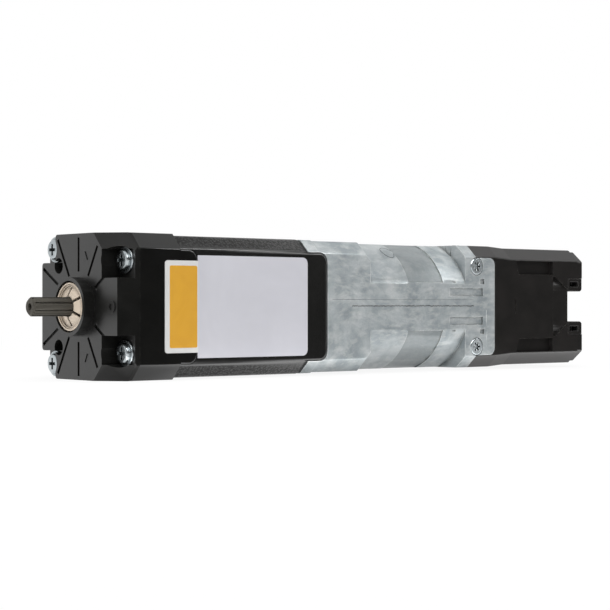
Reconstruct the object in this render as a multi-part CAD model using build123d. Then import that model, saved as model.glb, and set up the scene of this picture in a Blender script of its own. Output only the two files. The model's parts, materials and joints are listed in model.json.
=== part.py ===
from build123d import *
import math
import os

# Venetian blind motor for a slatted blind's head rail. Millimetres.
# X runs along the drive shaft, from the end with the limit adjusters (x = 0 is its end face)
# to the forked tail. Z is up, and the label faces -Y. The shaft axis is y = 0, z = 0.

# Drive shaft
shaft_radius = 3.6
journal_rise = 0.25
shaft_tip_left = -21.0
tail_stub = 21.0
shaft_tip_chamfer = 0.8
groove_count = 8
groove_width = 0.6
groove_depth = 0.45
centre_hole_radius = 1.3
centre_hole_depth = 2.5

# Clearances
running_gap = 0.05
fit_gap = 0.06
seat_gap = 0.02
free_gap = 0.4
shaft_clearance = 0.2

# How far a cut runs past the surface that it opens, and how far an added block reaches into its body
over = 1.0
bite = 0.5

# Outer sections, as half sizes with their corner chamfers and the rounding of their edges
half_width = 26.0
limit_proud = 0.2
limit_half_height = 27.5
limit_chamfer = (5.6, 5.9)
limit_edge = 0.8
motor_half_height = 26.8
motor_chamfer = (5.3, 5.1)
motor_edge = 3.4
gear_half_height = 26.4
gear_chamfer = (5.6, 5.1)
gear_edge = 1.2
lip_drop = 0.35

# Stations along X of the outer pieces
cap_length = 10.0
limit_tongue = 7.7
motor_length = 60.3
lip_length = 1.9
motor_tongue = 9.9
tongue_half_height = 21.6
tongue_thick = 1.4
tongue_corner = 4.0
tongue_edge = 1.1
gear_length = 94.0
ear_length = 11.9
ear_thick = 2.2
ear_half_height = 21.2
ear_corner = 3.2
ear_edge = 0.7
tail_length = 68.4

# End cap and its collar
collar_length = 4.5
collar_radius = 11.1
collar_wall = 1.4
cap_plate = 2.6
collar_recess = 0.8
ring_collar_gap = 0.7
ring_setback = 0.5
ring_step = 0.5
ring_steps = (0.5, 1.1, 1.8)
finger_count = 6
finger_wall = 0.5
finger_reach = 0.6
finger_thick = 0.6
finger_slot_width = 1.2
gear_cavity_radius = 15.5
bar_near_inset = 10.2
bar_far = 16.5
band_near = 10.6
band_far = 16.8
near_seat = 7.8
far_seat = 3.5
pocket_top = 21.4
shelf_length = 8.6
cap_corner = 1.3
rib_groove_width = 1.3
rib_groove_depth = 0.8
rib_groove_start = 13.2
rib_groove_reach = {30: 29.3, 60: 29.5, 90: 26.0, 120: 26.0, 148: 21.2}
boss_radius = 2.4
boss_inset = 3.4
boss_height = 0.4
arrow_size = 3.2
arrow_reach = 17.5
arrow_offset = 4.6
arrow_relief = 0.3

# Cap screws: flanged pan heads
near_screw_inset = 5.4
near_screw_z = 17.2
far_screw = (20.8, 21.9)
cap_screw_radius = 1.95
cap_screw_length = 15.0
flange_radius = 4.95
flange_thick = 0.9
head_radius = 3.8
head_height = 2.4
head_gap = 0.25
head_rounding = 0.8
cross_width = 1.1
cross_span = 4.4
cross_depth = 1.5
screw_boss_radius = 3.2

# Limit mechanism
limit_module = 0.6
axle_offset = 13.5
drive_teeth = 20
lay_teeth = 25
pinion_teeth = 10
wheel_teeth = 35
gear_width = 1.8
gear_step = 0.3
train_start = 4.0
cam_radius = 9.5
cam_width = 1.5
cam_up_angle = 240.0
cam_down_angle = 60.0
cam_lobe = 0.8
cam_lobe_angle = 24.0
sleeve_wall = 0.6
axle_radius = 1.2
axle_bore_wall = 0.5
axle_seat = 0.6
wheel_end_gap = 0.2
neck_gap = 0.1
sector_teeth = 55
adjuster_teeth = 15
sector_angle = 44.0
sector_shift = 8.0
adjuster_angle = 47.7
switch_arm_thick = 1.6
switch_arm_gap = 0.8
arm_hub_radius = 12.0
arm_cam_gap = 2.8
limit_plate_gap = 1.6
limit_plate_thick = 2.0
limit_plate_setback = 0.8
adjuster_head_radius = 2.94
adjuster_spindle = 2.0
adjuster_head_depth = 5.0
adjuster_head_length = 3.0
adjuster_slot = 0.9
adjuster_gear_proud = 0.2

# Microswitches
switch_floor = 13.4
switch_height = 6.4
switch_half_width = 5.4
switch_depth = 6.6
switch_up_extra = 1.0
lever_thick = 0.5
lever_width = 1.1
lever_gap = 0.35
lever_tip = (-0.2, -0.9, -3.6)
lever_tip_rise = 1.6
lever_root_drop = 0.4
lever_root_inset = 0.6
lever_pin_radius = 0.6
lever_pin_y = 4.4
lever_pin_drop = 1.3
lever_eye_wall = 0.45
ear_gap = 0.15
switch_ear = 0.75
switch_ear_half = 0.9
plunger_radius = 0.7
plunger_length = 2.1

# Gear teeth
pressure_angle = math.radians(20)
backlash = 0.15
addendum = 0.95
dedendum = 1.2

# Stator, rotor and bearings
housing_wall = 2.0
stator_room = 13.0
coil_room = 10.0
stator_gap = 1.0
stator_headroom = 0.8
slot_count = 12
tooth_tip = 1.1
slot_depth = 5.4
back_iron = 2.6
slot_width = 4.2
slot_mouth = 1.8
rib_half_width = 4.0
rib_reach = 2.0
coil_overhang = 6.2
coil_thick = 6.4
coil_setback = 1.8
slot_lining = 0.15
air_gap = 0.4
sleeve_bore = 4.1
sleeve_radius = 5.6
end_ring_length = 3.0
end_ring_inset = 0.9
shield_setback = 2.6
shield_reach = 4.7
shield_thick = 3.5
bearing_radius = 8.0

# Brake
brake_coil_length = 5.4
brake_coil_inset = 3.85
brake_bore = 8.4
brake_gap = 0.6
brake_travel = 0.4
armature_thick = 2.0
disc_thick = 2.0
disc_inset = 2.0
disc_gap = 0.15
reaction_thick = 2.0
brake_seat = 1.5
brake_rim = 2.5
brake_inner_rim = 3.0
winding_setback = 0.4
armature_inset = 0.6
armature_ear_wall = 0.7
brake_pin_count = 3
brake_pin_radius = 1.5
brake_pin_inset = 2.65
spring_wire = 0.6
spring_mean_radius = 2.05
spring_turns = 4

# Planetary gear train
ring_rim = 2.09
sun_teeth = 15
planet_teeth = 18
ring_teeth = 51
planet_count = 3
planet_widths = (8.0, 10.0, 14.0)
carrier_widths = (3.0, 3.5, 5.0)
train_gap = 3.7
stage_gap = 1.0
carrier_gap = 0.4
carrier_clearance = 1.16
planet_pin_radius = 1.5
lightening_radius = 2.6
bore_wall = 1.15
bore_headroom = 1.8
ring_front = 1.0
hub_radius = 9.0
hub_length = 12.8
hub_pin_radius = 1.5
hub_pin_setback = 3.0
hub_pin_inset = 0.3
bush_wall = 3.5
bush_length = 6.0
bush_start = 2.3
plate_pocket_count = 6
plate_pocket_radius = 3.0
rear_wall = 3.0
rear_wall_gap = 9.0
rear_bore = 6.0
spigot_length = 2.5
ring_addendum = 0.8
tail_bore_inset = 4.4

# Die-cast housing outside
drum_proud = 1.7
drum_half_height = 26.3
octagon_length = 30.4
nose_length = 2.6
nose_chamfer = (8.2, 7.5)
flange_length = 6.6
band_start = 54.3
band_length = 20.1
band_depth = 0.45
rail_half_height = 10.1
collar_band = 5.5
collar_rise = 0.3
ear_screw_setback = 11.5
ear_screw_height = 17.3
ear_screw_radius = 1.5
ear_screw_length = 7.0
ear_head_radius = 3.7
ear_head_height = 1.5
ear_head_sink = 1.4
lug_length = 4.0
lug_root = 3.0
lug_depth = 9.4
lug_z = (13.4, 20.6)
ear_screw_rounding = 0.6
star_slot = (4.0, 1.6, 0.8)

# Shallow recesses in the die-cast side, each as its distance ahead of the ear's end, length,
# lower height, upper height and depth
side_recesses = [(27.7, 19.9, 4.5, 7.9, 0.5), (25.9, 1.8, 10.0, 13.4, 0.6), (9.6, 2.7, 9.8, 11.9, 0.6)]

# Tail housing
tail_wall = 2.2
tail_side_wall = 4.6
tail_drop = 0.7
taper_start = 13.0
taper_length = 9.0
end_step = 3.0
end_drop = 0.8
notch_depth = 9.4
notch_half = 6.8
tail_web = 4.3
tail_bush_radius = 6.4
insert_top = 12.7
insert_key = 1.4
insert_key_inset = 3.0
insert_slot = (1.4, 5.4, 9.0, 11.1)
insert_slot_depth = 4.0
insert_corner = 1.5
side_pocket = (43.5, 19.5, 14.2, 20.2)
side_pocket_depth = 2.2
side_pocket_slant = 1.7
side_slit = (24.4, 0.4, 3.0, 0.5)
throat_length = 10.0
throat_lead = 1.7
throat_depth = 0.35
throat_flat = 7.2
throat_round = 7.0
throat_turn = 45.0
throat_half = 13.4

# Tail contents
capacitor_radius = 8.5
capacitor_start = 12.0
capacitor_end_gap = 4.7
capacitor_gap = (1.4, 3.5)
cradle_width = 2.0
cradle_shares = (0.25, 0.75)
cradle_reach = (9.5, 2.0)
capacitor_rounding = 0.8
capacitor_tag = (4.0, 0.8, 2.4)
capacitor_tag_offset = 3.0
board_thick = 1.6
board_start = 6.0
board_end_gap = 2.7
board_side_gap = 4.4
board_edge_gap = 5.5
rail_width = 4.2
rail_grip = 1.2
socket_start = 21.0
socket_length = 22.0
socket_z = (4.4, 18.4)
socket_reach = 16.5
socket_wall = 1.6
socket_depth = 12.0
contact_radius = 1.0
contact_length = 9.0
contact_count = 4
contact_tail = 2.0

# Parts on the board, as distance from the board's front edge, size along X, height off the board,
# and lower and upper edge
relay_block = (4.0, 15.0, 9.0, 4.0, 14.0)
terminal_gap = 5.0
terminal_size = (8.0, 5.0, 14.0)
bridge_block = (20.0, 9.0, 3.0, -14.0, -6.0)
terminal_screw_count = 3
terminal_screw_start = 3.3
terminal_screw_radius = 1.5
terminal_screw_depth = 1.5
choke_size = (10.0, 4.5, 7.0, -9.0)
fuse_gap = 3.0
fuse_edge = 4.0
fuse_size = (1.8, -8.0)

# Labels
badge_start = 21.0
badge_height = 34.6
badge_thick = 0.25
badge_corner = 1.2
label_length = 53.8
label_half_height = 19.4
label_thick = 0.12
label_corner = 2.4


def face_at(x, y=0.0, z=0.0):
    # A plane across the motor, with its sketch axes along Y and Z
    return Plane(origin=(x, y, z), x_dir=(0, 1, 0), z_dir=(1, 0, 0))


def prism(x0, x1, sketch, y=0.0, z=0.0):
    return extrude(face_at(x0, y, z) * sketch, x1 - x0, dir=(1, 0, 0))


def rod(x0, x1, radius, y=0.0, z=0.0):
    return prism(x0, x1, Circle(radius), y, z)


def tube(x0, x1, outer, inner, y=0.0, z=0.0):
    return prism(x0, x1, Circle(outer) - Circle(inner), y, z)


def block(x0, x1, y0, y1, z0, z1):
    return Pos((x0 + x1) / 2, (y0 + y1) / 2, (z0 + z1) / 2) * Box(x1 - x0, y1 - y0, z1 - z0)


def rod_y(y0, y1, radius, x, z):
    # A round bar across the motor, from y0 up to y1
    plane = Plane(origin=(x, y0, z), x_dir=(1, 0, 0), z_dir=(0, 1, 0))
    return extrude(plane * Circle(radius), y1 - y0)


def polar(radius, degrees):
    angle = math.radians(degrees)
    return (radius * math.cos(angle), radius * math.sin(angle))


def octagon(wide, high, chamfer, inset=0.0):
    # A rectangle with chamfered corners, drawn inside the outline by an even inset
    run, rise = chamfer
    slant = math.hypot(run, rise)
    w = wide - inset
    h = high - inset
    shift_y = inset * (slant - run) / rise
    shift_z = inset * (slant - rise) / run
    y1 = wide - run - shift_y
    z1 = high - rise - shift_z
    quarter = [(w, z1), (y1, h)]
    points = quarter + [(-y, z) for y, z in reversed(quarter)]
    points += [(-y, -z) for y, z in quarter] + [(y, -z) for y, z in reversed(quarter)]
    return Polygon(*points, align=None)


def rounded(wide, high, chamfer, radius):
    # An outer section, whose eight edges are rounded
    return fillet(octagon(wide, high, chamfer).vertices(), radius)


def mirrored(shape):
    # The shape and its mirror image below the axis
    return shape + mirror(shape, Plane.XY)


def both_sides(shape):
    return shape + mirror(shape, Plane.XZ)


def involute(angle):
    return math.tan(angle) - angle


def gear_outline(teeth, module, tip, root, thinning):
    # Involute teeth with a tooth centred on the sketch's first axis
    pitch = teeth * module / 2
    base = pitch * math.cos(pressure_angle)

    def half_angle(radius):
        roll = math.acos(min(1.0, base / radius))
        quarter = math.pi / (2 * teeth) - thinning / (2 * pitch)
        return quarter + involute(pressure_angle) - involute(roll)

    if root >= base:
        radii = [root, pitch, tip]
    else:
        radii = [root, base, (base + tip) / 2, tip]
    points = []
    for tooth in range(teeth):
        centre = 2 * math.pi * tooth / teeth
        flank = [(radius, centre - half_angle(radius)) for radius in radii]
        flank += [(radius, centre + half_angle(radius)) for radius in reversed(radii)]
        points += [(radius * math.cos(angle), radius * math.sin(angle)) for radius, angle in flank]
    return Polygon(*points, align=None)


def gear(x0, x1, teeth, module, turn=0.0, y=0.0, z=0.0):
    pitch = teeth * module / 2
    outline = gear_outline(teeth, module, pitch + addendum * module, pitch - dedendum * module, backlash)
    return prism(x0, x1, Rot(0, 0, turn) * outline, y, z)


def plate_on_side(x0, x1, half_high, inner, outer, corner):
    # A flat plate against the near side face, with the two corners at its far end rounded
    plate = block(x0, x1, -outer, -inner, -half_high, half_high)
    edges = plate.edges().filter_by(Axis.Y).group_by(Axis.X)[-1]
    return fillet(edges, corner)


def soft_plate(x0, x1, half_high, inner, outer, corner, edge):
    # The same plate with its outer rim rounded, apart from the end that joins its body
    plate = plate_on_side(x0, x1, half_high, inner, outer, corner)
    rim = plate.edges().group_by(Axis.Y)[0].sort_by(Axis.X)[1:]
    return fillet(rim, edge)


def around(count, radius, offset=0.0):
    # Evenly spaced places on a circle about the shaft axis
    return [polar(radius, offset + 360 * index / count) for index in range(count)]


def limit_section(inset=0.0):
    return octagon(half_width + limit_proud, limit_half_height, limit_chamfer, inset)


def limit_outline():
    return rounded(half_width + limit_proud, limit_half_height, limit_chamfer, limit_edge)


def motor_section(inset=0.0):
    return octagon(half_width, motor_half_height, motor_chamfer, inset)


def motor_outline(drop=0.0):
    return rounded(half_width - drop, motor_half_height - drop, motor_chamfer, motor_edge)


def gear_outline_at(high):
    return rounded(half_width, high, gear_chamfer, gear_edge)


# Derived places of the limit mechanism, which sets how long the limit section is
journal_radius = shaft_radius + journal_rise
shaft_bore = journal_radius + running_gap
sleeve_bore_limit = journal_radius + shaft_clearance
sleeve_outer = sleeve_bore_limit + sleeve_wall
wheel_bore = sleeve_outer + running_gap
step = gear_width + gear_step
counter_x = train_start + step
second_x = counter_x + step
cam_up_x = second_x + step
cam_up_disc = cam_up_x + gear_width
cam_down_x = cam_up_disc + cam_width + gear_step
cam_down_disc = cam_down_x + gear_width
arm_start = cam_down_disc + cam_width + arm_cam_gap
arm_down_start = arm_start + switch_arm_thick + switch_arm_gap
limit_plate_start = arm_down_start + switch_arm_thick + limit_plate_gap
limit_end = limit_plate_start + limit_plate_thick + limit_plate_setback
lay_turn = 180.0 / lay_teeth
adjuster_radius = (sector_teeth + adjuster_teeth) * limit_module / 2
adjuster_y, adjuster_z = polar(adjuster_radius, adjuster_angle)
drive_ring_radius = collar_radius - collar_wall - ring_collar_gap
bar_near = half_width - bar_near_inset
boss_offset = half_width - boss_inset

# Stations of the outer pieces
motor_end = limit_end + motor_length
gear_start = motor_end + lip_length
gear_end = gear_start + gear_length
tail_end = gear_end + tail_length
notch_x = tail_end - notch_depth
web_x = notch_x - tail_web


def screw_places():
    # Seat station and place of each of the four cap screws
    return [
        (near_seat, near_screw_inset - half_width, near_screw_z),
        (near_seat, near_screw_inset - half_width, -near_screw_z),
        (far_seat, far_screw[0], far_screw[1]),
        (far_seat, far_screw[0], -far_screw[1]),
    ]


def near_shelf_cut():
    # The slanted plane that takes the near upper corner off, from the bar out to the side face
    run, rise = limit_chamfer
    wide = half_width + limit_proud
    low_front = Vector(0, -bar_near, limit_half_height - rise)
    low_back = Vector(shelf_length, -wide, limit_half_height - rise)
    high_front = Vector(0, -bar_near + run, limit_half_height)
    normal = (low_back - low_front).cross(high_front - low_front).normalized()
    if normal.Y > 0:
        normal = normal * -1
    plane = Plane(origin=low_front, z_dir=normal)
    return plane * Box(4 * wide, 4 * wide, wide, align=(Align.CENTER, Align.CENTER, Align.MIN))


def edges_at(shape, y, z):
    # The edges along the motor at a place across it, above and below the axis
    edges = shape.edges().filter_by(Axis.X).filter_by_position(Axis.Y, y - seat_gap, y + seat_gap)
    above = edges.filter_by_position(Axis.Z, z - seat_gap, z + seat_gap)
    return above + edges.filter_by_position(Axis.Z, -z - seat_gap, seat_gap - z)


def limit_end_cap():
    wide = half_width + limit_proud + over
    high = limit_half_height + over
    cap = prism(0, cap_length, limit_outline())
    notch = block(-over, far_seat, bar_far, wide, band_far, high)
    pocket = block(-over, near_seat, -wide, -bar_near, band_near, pocket_top)
    cap -= mirrored(notch)
    corners = edges_at(cap, half_width + limit_proud, band_far) + edges_at(cap, bar_far, limit_half_height)
    cap = fillet(corners, cap_corner)
    cap -= mirrored(pocket)
    cap -= mirrored(near_shelf_cut())
    cap += tube(-collar_length, collar_recess, collar_radius, collar_radius - collar_wall)
    cap -= rod(0, collar_recess, collar_radius - collar_wall)
    cap -= rod(collar_recess - over, cap_plate + over, shaft_bore)
    cap -= rod(cap_plate, cap_length, gear_cavity_radius)
    lay_reach = lay_teeth * limit_module / 2 + limit_module + free_gap
    cap -= rod(cap_plate, cap_length, lay_reach, -axle_offset, 0)
    for x, y, z in screw_places():
        cap -= rod(-over, x, flange_radius + head_gap, y, z)
        cap -= rod(x - over, cap_length + over, cap_screw_radius + fit_gap, y, z)
    for side in (1, -1):
        cap -= rod(-over, cap_length + over, adjuster_head_radius + fit_gap, adjuster_y, side * adjuster_z)
    cap -= rod(axle_seat, cap_plate, axle_radius, -axle_offset, 0)
    cap -= face_grooves()
    cap += tube(-boss_height, 0, boss_radius, boss_radius / 2, -boss_offset, 0)
    return cap + face_arrows()


def face_grooves():
    # Shallow radial grooves on the end face, outside the collar
    cuts = Part()
    for degrees, reach in rib_groove_reach.items():
        length = reach - rib_groove_start
        bar = Pos(0, rib_groove_start + length / 2, 0) * Box(2 * rib_groove_depth, length, rib_groove_width)
        cuts += Rot(degrees, 0, 0) * bar
    return mirrored(cuts)


def face_arrows():
    # Plain raised arrows that show which way each adjuster moves its limit
    points = [(-arrow_size / 2, 0), (arrow_size / 2, 0), (0, arrow_size)]
    arrow = Pos(-arrow_offset, arrow_reach) * Polygon(*points, align=None)
    return mirrored(prism(-arrow_relief, 0, arrow))


def limit_housing():
    shell = prism(cap_length, limit_end, limit_outline() - limit_section(housing_wall))
    outer = half_width + limit_proud
    tongue = soft_plate(
        limit_end - bite, limit_end + limit_tongue, tongue_half_height,
        outer - tongue_thick, outer, tongue_corner, limit_edge,
    )
    shell += both_sides(tongue)
    for x, y, z in screw_places():
        boss = Pos(y, z) * Circle(screw_boss_radius) + screw_web(y, z)
        shell += prism(cap_length, limit_plate_start, limit_outline() & boss)
    for x, y, z in screw_places():
        shell -= rod(cap_length - over, limit_end + over, cap_screw_radius, y, z)
    return shell


def screw_web(y, z):
    # Fills the gap between a screw boss and the side wall
    side = 1 if y > 0 else -1
    reach = half_width - abs(y)
    return Pos(side * (abs(y) + half_width) / 2, z) * Rectangle(reach + 2 * bite, screw_boss_radius)


def flanged_screw(x, y, z):
    head = rod(x - flange_thick, x, flange_radius, y, z)
    dome = rod(x - head_height, x - flange_thick, head_radius, y, z)
    dome = fillet(dome.edges().filter_by(GeomType.CIRCLE).group_by(Axis.X)[0], head_rounding)
    screw = head + dome + rod(x, x + cap_screw_length, cap_screw_radius - seat_gap, y, z)
    for turn in (0, 90):
        slot = Box(2 * cross_depth, cross_span, cross_width)
        screw -= Pos(x - head_height, y, z) * Rot(turn, 0, 0) * slot
    return screw


def cap_screws():
    return [flanged_screw(*place) for place in screw_places()]


def drive_ring():
    # The pale plastic ring on the shaft: stepped rims round a hollow, and thin fingers that grip the shaft
    outer = drive_ring_radius
    rim = outer - ring_steps[2]
    bore = journal_radius + seat_gap
    hub = bore + finger_wall
    front = -collar_length + ring_setback
    root = front + 2 * ring_step
    tip = front - finger_reach
    back = collar_recess - 2 * shaft_clearance
    profile = [(back, rim), (back, outer), (front, outer)]
    for index, drop in enumerate(ring_steps[:2]):
        x = front + ring_step * index
        profile += [(x, outer - drop), (x + ring_step, outer - drop)]
    profile += [(root, rim), (tip, hub), (tip, bore), (back, bore), (back, hub)]
    profile += [(tip + finger_thick, hub), (root + finger_thick, rim)]
    face = make_face(Plane.XY * Polyline(*profile, close=True))
    ring = revolve(face, Axis.X)
    deep = back - tip + 2 * over
    slot = Pos((tip + back) / 2, rim / 2, 0) * Box(deep, rim, finger_slot_width)
    for index in range(finger_count):
        ring -= Rot((index + 0.5) * 360 / finger_count, 0, 0) * slot
    return ring


def drive_shaft():
    # Grooved free ends for the blind's couplings, and a slightly thicker journal between them
    right_tip = notch_x + tail_stub
    left_shoulder = ring_setback - collar_length - finger_reach
    right_shoulder = notch_x + shaft_clearance
    shaft = rod(shaft_tip_left, right_tip, shaft_radius)
    shaft = chamfer(shaft.edges().filter_by(GeomType.CIRCLE), shaft_tip_chamfer)
    for start, end in ((shaft_tip_left - over, left_shoulder), (right_shoulder, right_tip + over)):
        cut = Box(end - start, groove_depth + over, groove_width)
        cut = Pos((start + end) / 2, shaft_radius + (over - groove_depth) / 2, 0) * cut
        for index in range(groove_count):
            shaft -= Rot((index + 0.5) * 360 / groove_count, 0, 0) * cut
    shaft += rod(left_shoulder, right_shoulder, journal_radius)
    shaft -= rod(shaft_tip_left, shaft_tip_left + centre_hole_depth, centre_hole_radius)
    shaft -= rod(right_tip - centre_hole_depth, right_tip, centre_hole_radius)
    return shaft - hub_pin_rod(hub_pin_radius)


def hub_pin_rod(radius):
    x = hub_end - hub_pin_setback
    return Pos(x, 0, 0) * Cylinder(radius, 2 * (hub_radius - hub_pin_inset))


def limit_drive_gear():
    body = gear(train_start, train_start + gear_width, drive_teeth, limit_module)
    return body - rod(train_start - over, counter_x, journal_radius + seat_gap)


def lay_wheel(start, pinion_end, neck=()):
    # A wheel and its long pinion in one piece, on the lay axle
    y = -axle_offset
    body = gear(start, start + gear_width, lay_teeth, limit_module, lay_turn, y)
    body += gear(start + gear_width, pinion_end, pinion_teeth, limit_module, 0.0, y)
    for x0, x1 in neck:
        body -= tube(x0, x1, pinion_teeth * limit_module, axle_radius + axle_bore_wall, y)
    return body - rod(start - over, pinion_end + over, axle_radius + running_gap, y)


def counter_wheel():
    body = gear(counter_x, counter_x + gear_width, wheel_teeth, limit_module)
    body += gear(counter_x + gear_width, second_x + gear_width, drive_teeth, limit_module)
    return body - rod(counter_x - over, cam_up_x, wheel_bore)


def cam_wheel(start, lobe_angle):
    # A toothed wheel with a cam disc beside it, whose lobe lifts the switch lever
    disc_start = start + gear_width
    disc_end = disc_start + cam_width
    body = gear(start, disc_start, wheel_teeth, limit_module) + rod(disc_start, disc_end, cam_radius)
    body += prism(disc_start, disc_end, wedge(cam_radius + cam_lobe, lobe_angle, cam_lobe_angle))
    return body - rod(start - over, disc_end + over, wheel_bore)


def limit_sleeve():
    return tube(counter_x - neck_gap, limit_plate_start, sleeve_outer, sleeve_bore_limit)


def limit_plate():
    # Closes the mechanism and carries the spindles, the lay axle and the sleeve
    plate_end = limit_plate_start + limit_plate_thick
    plate = prism(limit_plate_start, plate_end, limit_section(housing_wall + fit_gap))
    holes = [(sleeve_bore_limit, 0.0, 0.0), (axle_radius, -axle_offset, 0.0)]
    holes += [(adjuster_spindle + running_gap, adjuster_y, side * adjuster_z) for side in (1, -1)]
    holes += [(cap_screw_radius + free_gap, y, z) for x, y, z in screw_places()]
    for radius, y, z in holes:
        plate -= rod(limit_plate_start - over, plate_end + over, radius, y, z)
    return plate


def lay_axle():
    return rod(axle_seat, limit_plate_start + limit_plate_thick, axle_radius, -axle_offset, 0)


def arm_place(side):
    # Where the switch arm of a side starts: the upper limit's arm stands in front
    return arm_start if side > 0 else arm_down_start


def adjuster(side):
    # Slotted head in the end cap, a thin spindle and a pinion beside its switch arm
    y = adjuster_y
    z = side * adjuster_z
    arm_x = arm_place(side)
    head_end = adjuster_head_depth + adjuster_head_length
    body = rod(adjuster_head_depth, head_end, adjuster_head_radius, y, z)
    slot = Box(2 * adjuster_slot, 2 * (adjuster_head_radius + over), adjuster_slot)
    body -= Pos(adjuster_head_depth, y, z) * slot
    body += rod(head_end, limit_plate_start + limit_plate_thick, adjuster_spindle, y, z)
    turn = side * adjuster_angle
    start = arm_x - adjuster_gear_proud
    end = arm_x + switch_arm_thick + adjuster_gear_proud
    body += gear(start, end, adjuster_teeth, limit_module, turn, y, z)
    return body


def wedge(radius, middle, spread):
    # A sector of a disc about the shaft axis
    half = spread / 2
    rim = [polar(radius, middle + half * share) for share in (-1, -0.5, 0, 0.5, 1)]
    return Polygon((0, 0), *rim, align=None)


def switch_arm(side):
    # A disc that turns on the sleeve, with a toothed sector for the adjuster and a lug for the switch
    x0 = arm_place(side)
    x1 = x0 + switch_arm_thick
    middle = side * adjuster_angle
    toothed = gear(x0, x1, sector_teeth, limit_module, middle)
    reach = sector_teeth * limit_module
    sector = toothed & prism(x0, x1, wedge(reach, middle - side * sector_shift, sector_angle))
    lug_top = switch_floor + switch_height
    lug = block(x0, x1, -switch_half_width, switch_half_width, 0, lug_top)
    lug = lug if side > 0 else mirror(lug, Plane.XY)
    arm = rod(x0, x1, arm_hub_radius) + sector + lug
    return arm - rod(x0 - over, x1 + over, wheel_bore)


def switch_span(side):
    # The switch stands in front of its arm, over its own cam
    end = arm_place(side)
    extra = switch_up_extra if side > 0 else 0.0
    return end - switch_depth - extra, end


def lever_place(side):
    disc = cam_up_disc if side > 0 else cam_down_disc
    return disc + (cam_width - lever_width) / 2


def microswitch(side):
    # The switch body, with two ears and a pin for its lever and the plunger that the lever presses
    x0, x1 = switch_span(side)
    body = block(x0, x1, -switch_half_width, switch_half_width, switch_floor, switch_floor + switch_height)
    x = lever_place(side)
    pin_z = switch_floor - lever_pin_drop
    low = x - ear_gap - switch_ear
    high = x + lever_width + ear_gap
    ear_low = lever_pin_y - switch_ear_half
    ear_high = lever_pin_y + switch_ear_half
    for start in (low, high):
        body += block(start, start + switch_ear, ear_low, ear_high, pin_z - switch_ear_half, switch_floor)
    body += rod(low, high + switch_ear, lever_pin_radius, lever_pin_y, pin_z)
    plunger = Cylinder(plunger_radius, plunger_length)
    body += Pos(x + lever_width / 2, 0, switch_floor - plunger_length / 2) * plunger
    return body if side > 0 else mirror(body, Plane.XY)


def switch_lever(side):
    # A sprung strip from its pin to just off the cam, with a folded tip
    x = lever_place(side)
    pin_z = switch_floor - lever_pin_drop
    bore = lever_pin_radius + running_gap
    tip_z = cam_radius + lever_gap
    fold_z = tip_z + lever_tip_rise
    root_y = lever_pin_y - lever_root_inset
    root_z = pin_z - lever_root_drop
    lever = tube(x, x + lever_width, bore + lever_eye_wall, bore, lever_pin_y, pin_z)
    near, bend, far = lever_tip
    points = [
        (root_y, root_z), (near, tip_z + lever_thick), (bend, tip_z + lever_thick),
        (far, fold_z + lever_thick), (far, fold_z), (bend, tip_z), (near, tip_z),
        (root_y, root_z - lever_thick),
    ]
    lever += prism(x, x + lever_width, Polygon(*points, align=None))
    lever -= rod(x - over, x + lever_width + over, bore, lever_pin_y, pin_z)
    return lever if side > 0 else mirror(lever, Plane.XY)


# Derived places of the motor, the brake and the gear train
shield_left = limit_end + shield_setback
shield_right = motor_end - shield_reach
stator_start = shield_left + stator_room
stator_length = shield_right - stator_start - coil_room
stator_radius = min(half_width, motor_half_height - stator_headroom) - housing_wall - stator_gap
slot_outer = stator_radius - back_iron
slot_inner = slot_outer - slot_depth
stator_bore = slot_inner - tooth_tip
coil_outer = stator_radius - coil_setback
coil_inner = coil_outer - coil_thick
rotor_radius = stator_bore - air_gap
end_ring_radius = rotor_radius - end_ring_inset
stator_end = stator_start + stator_length
coil_start = stator_start - coil_overhang
coil_end = stator_end + coil_overhang
coil_plate = shield_right + shield_thick
armature_x = coil_plate + brake_coil_length + brake_gap
disc_x = armature_x + armature_thick + disc_gap
reaction_x = disc_x + disc_thick + disc_gap
gear_bore = min(half_width - tongue_thick, gear_half_height - bore_headroom) - bore_wall
brake_coil_radius = gear_bore - brake_coil_inset
brake_pin_circle = gear_bore - brake_pin_inset
disc_radius = brake_coil_radius - disc_inset
planet_module = (gear_bore - ring_rim) / (ring_teeth / 2 + dedendum)
carrier_radius = (ring_teeth / 2 - ring_addendum) * planet_module - carrier_clearance
train_begin = reaction_x + reaction_thick + train_gap
centre_distance = (sun_teeth + planet_teeth) * planet_module / 2
ring_outer = gear_bore - seat_gap


def stage_start(stage):
    # Where the planets of a stage begin
    x = train_begin
    for earlier in range(stage):
        x += planet_widths[earlier] + carrier_gap + carrier_widths[earlier] + stage_gap
    return x


def carrier_start(stage):
    return stage_start(stage) + planet_widths[stage] + carrier_gap


def carrier_end(stage):
    return carrier_start(stage) + carrier_widths[stage]


hub_end = carrier_end(2) + hub_length
bush_x = carrier_end(2) + bush_start
ring_end = carrier_start(2) - carrier_gap
rear_wall_start = hub_end + rear_wall_gap
drum_radius = half_width + drum_proud
tail_side_bore = half_width - tail_bore_inset


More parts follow.
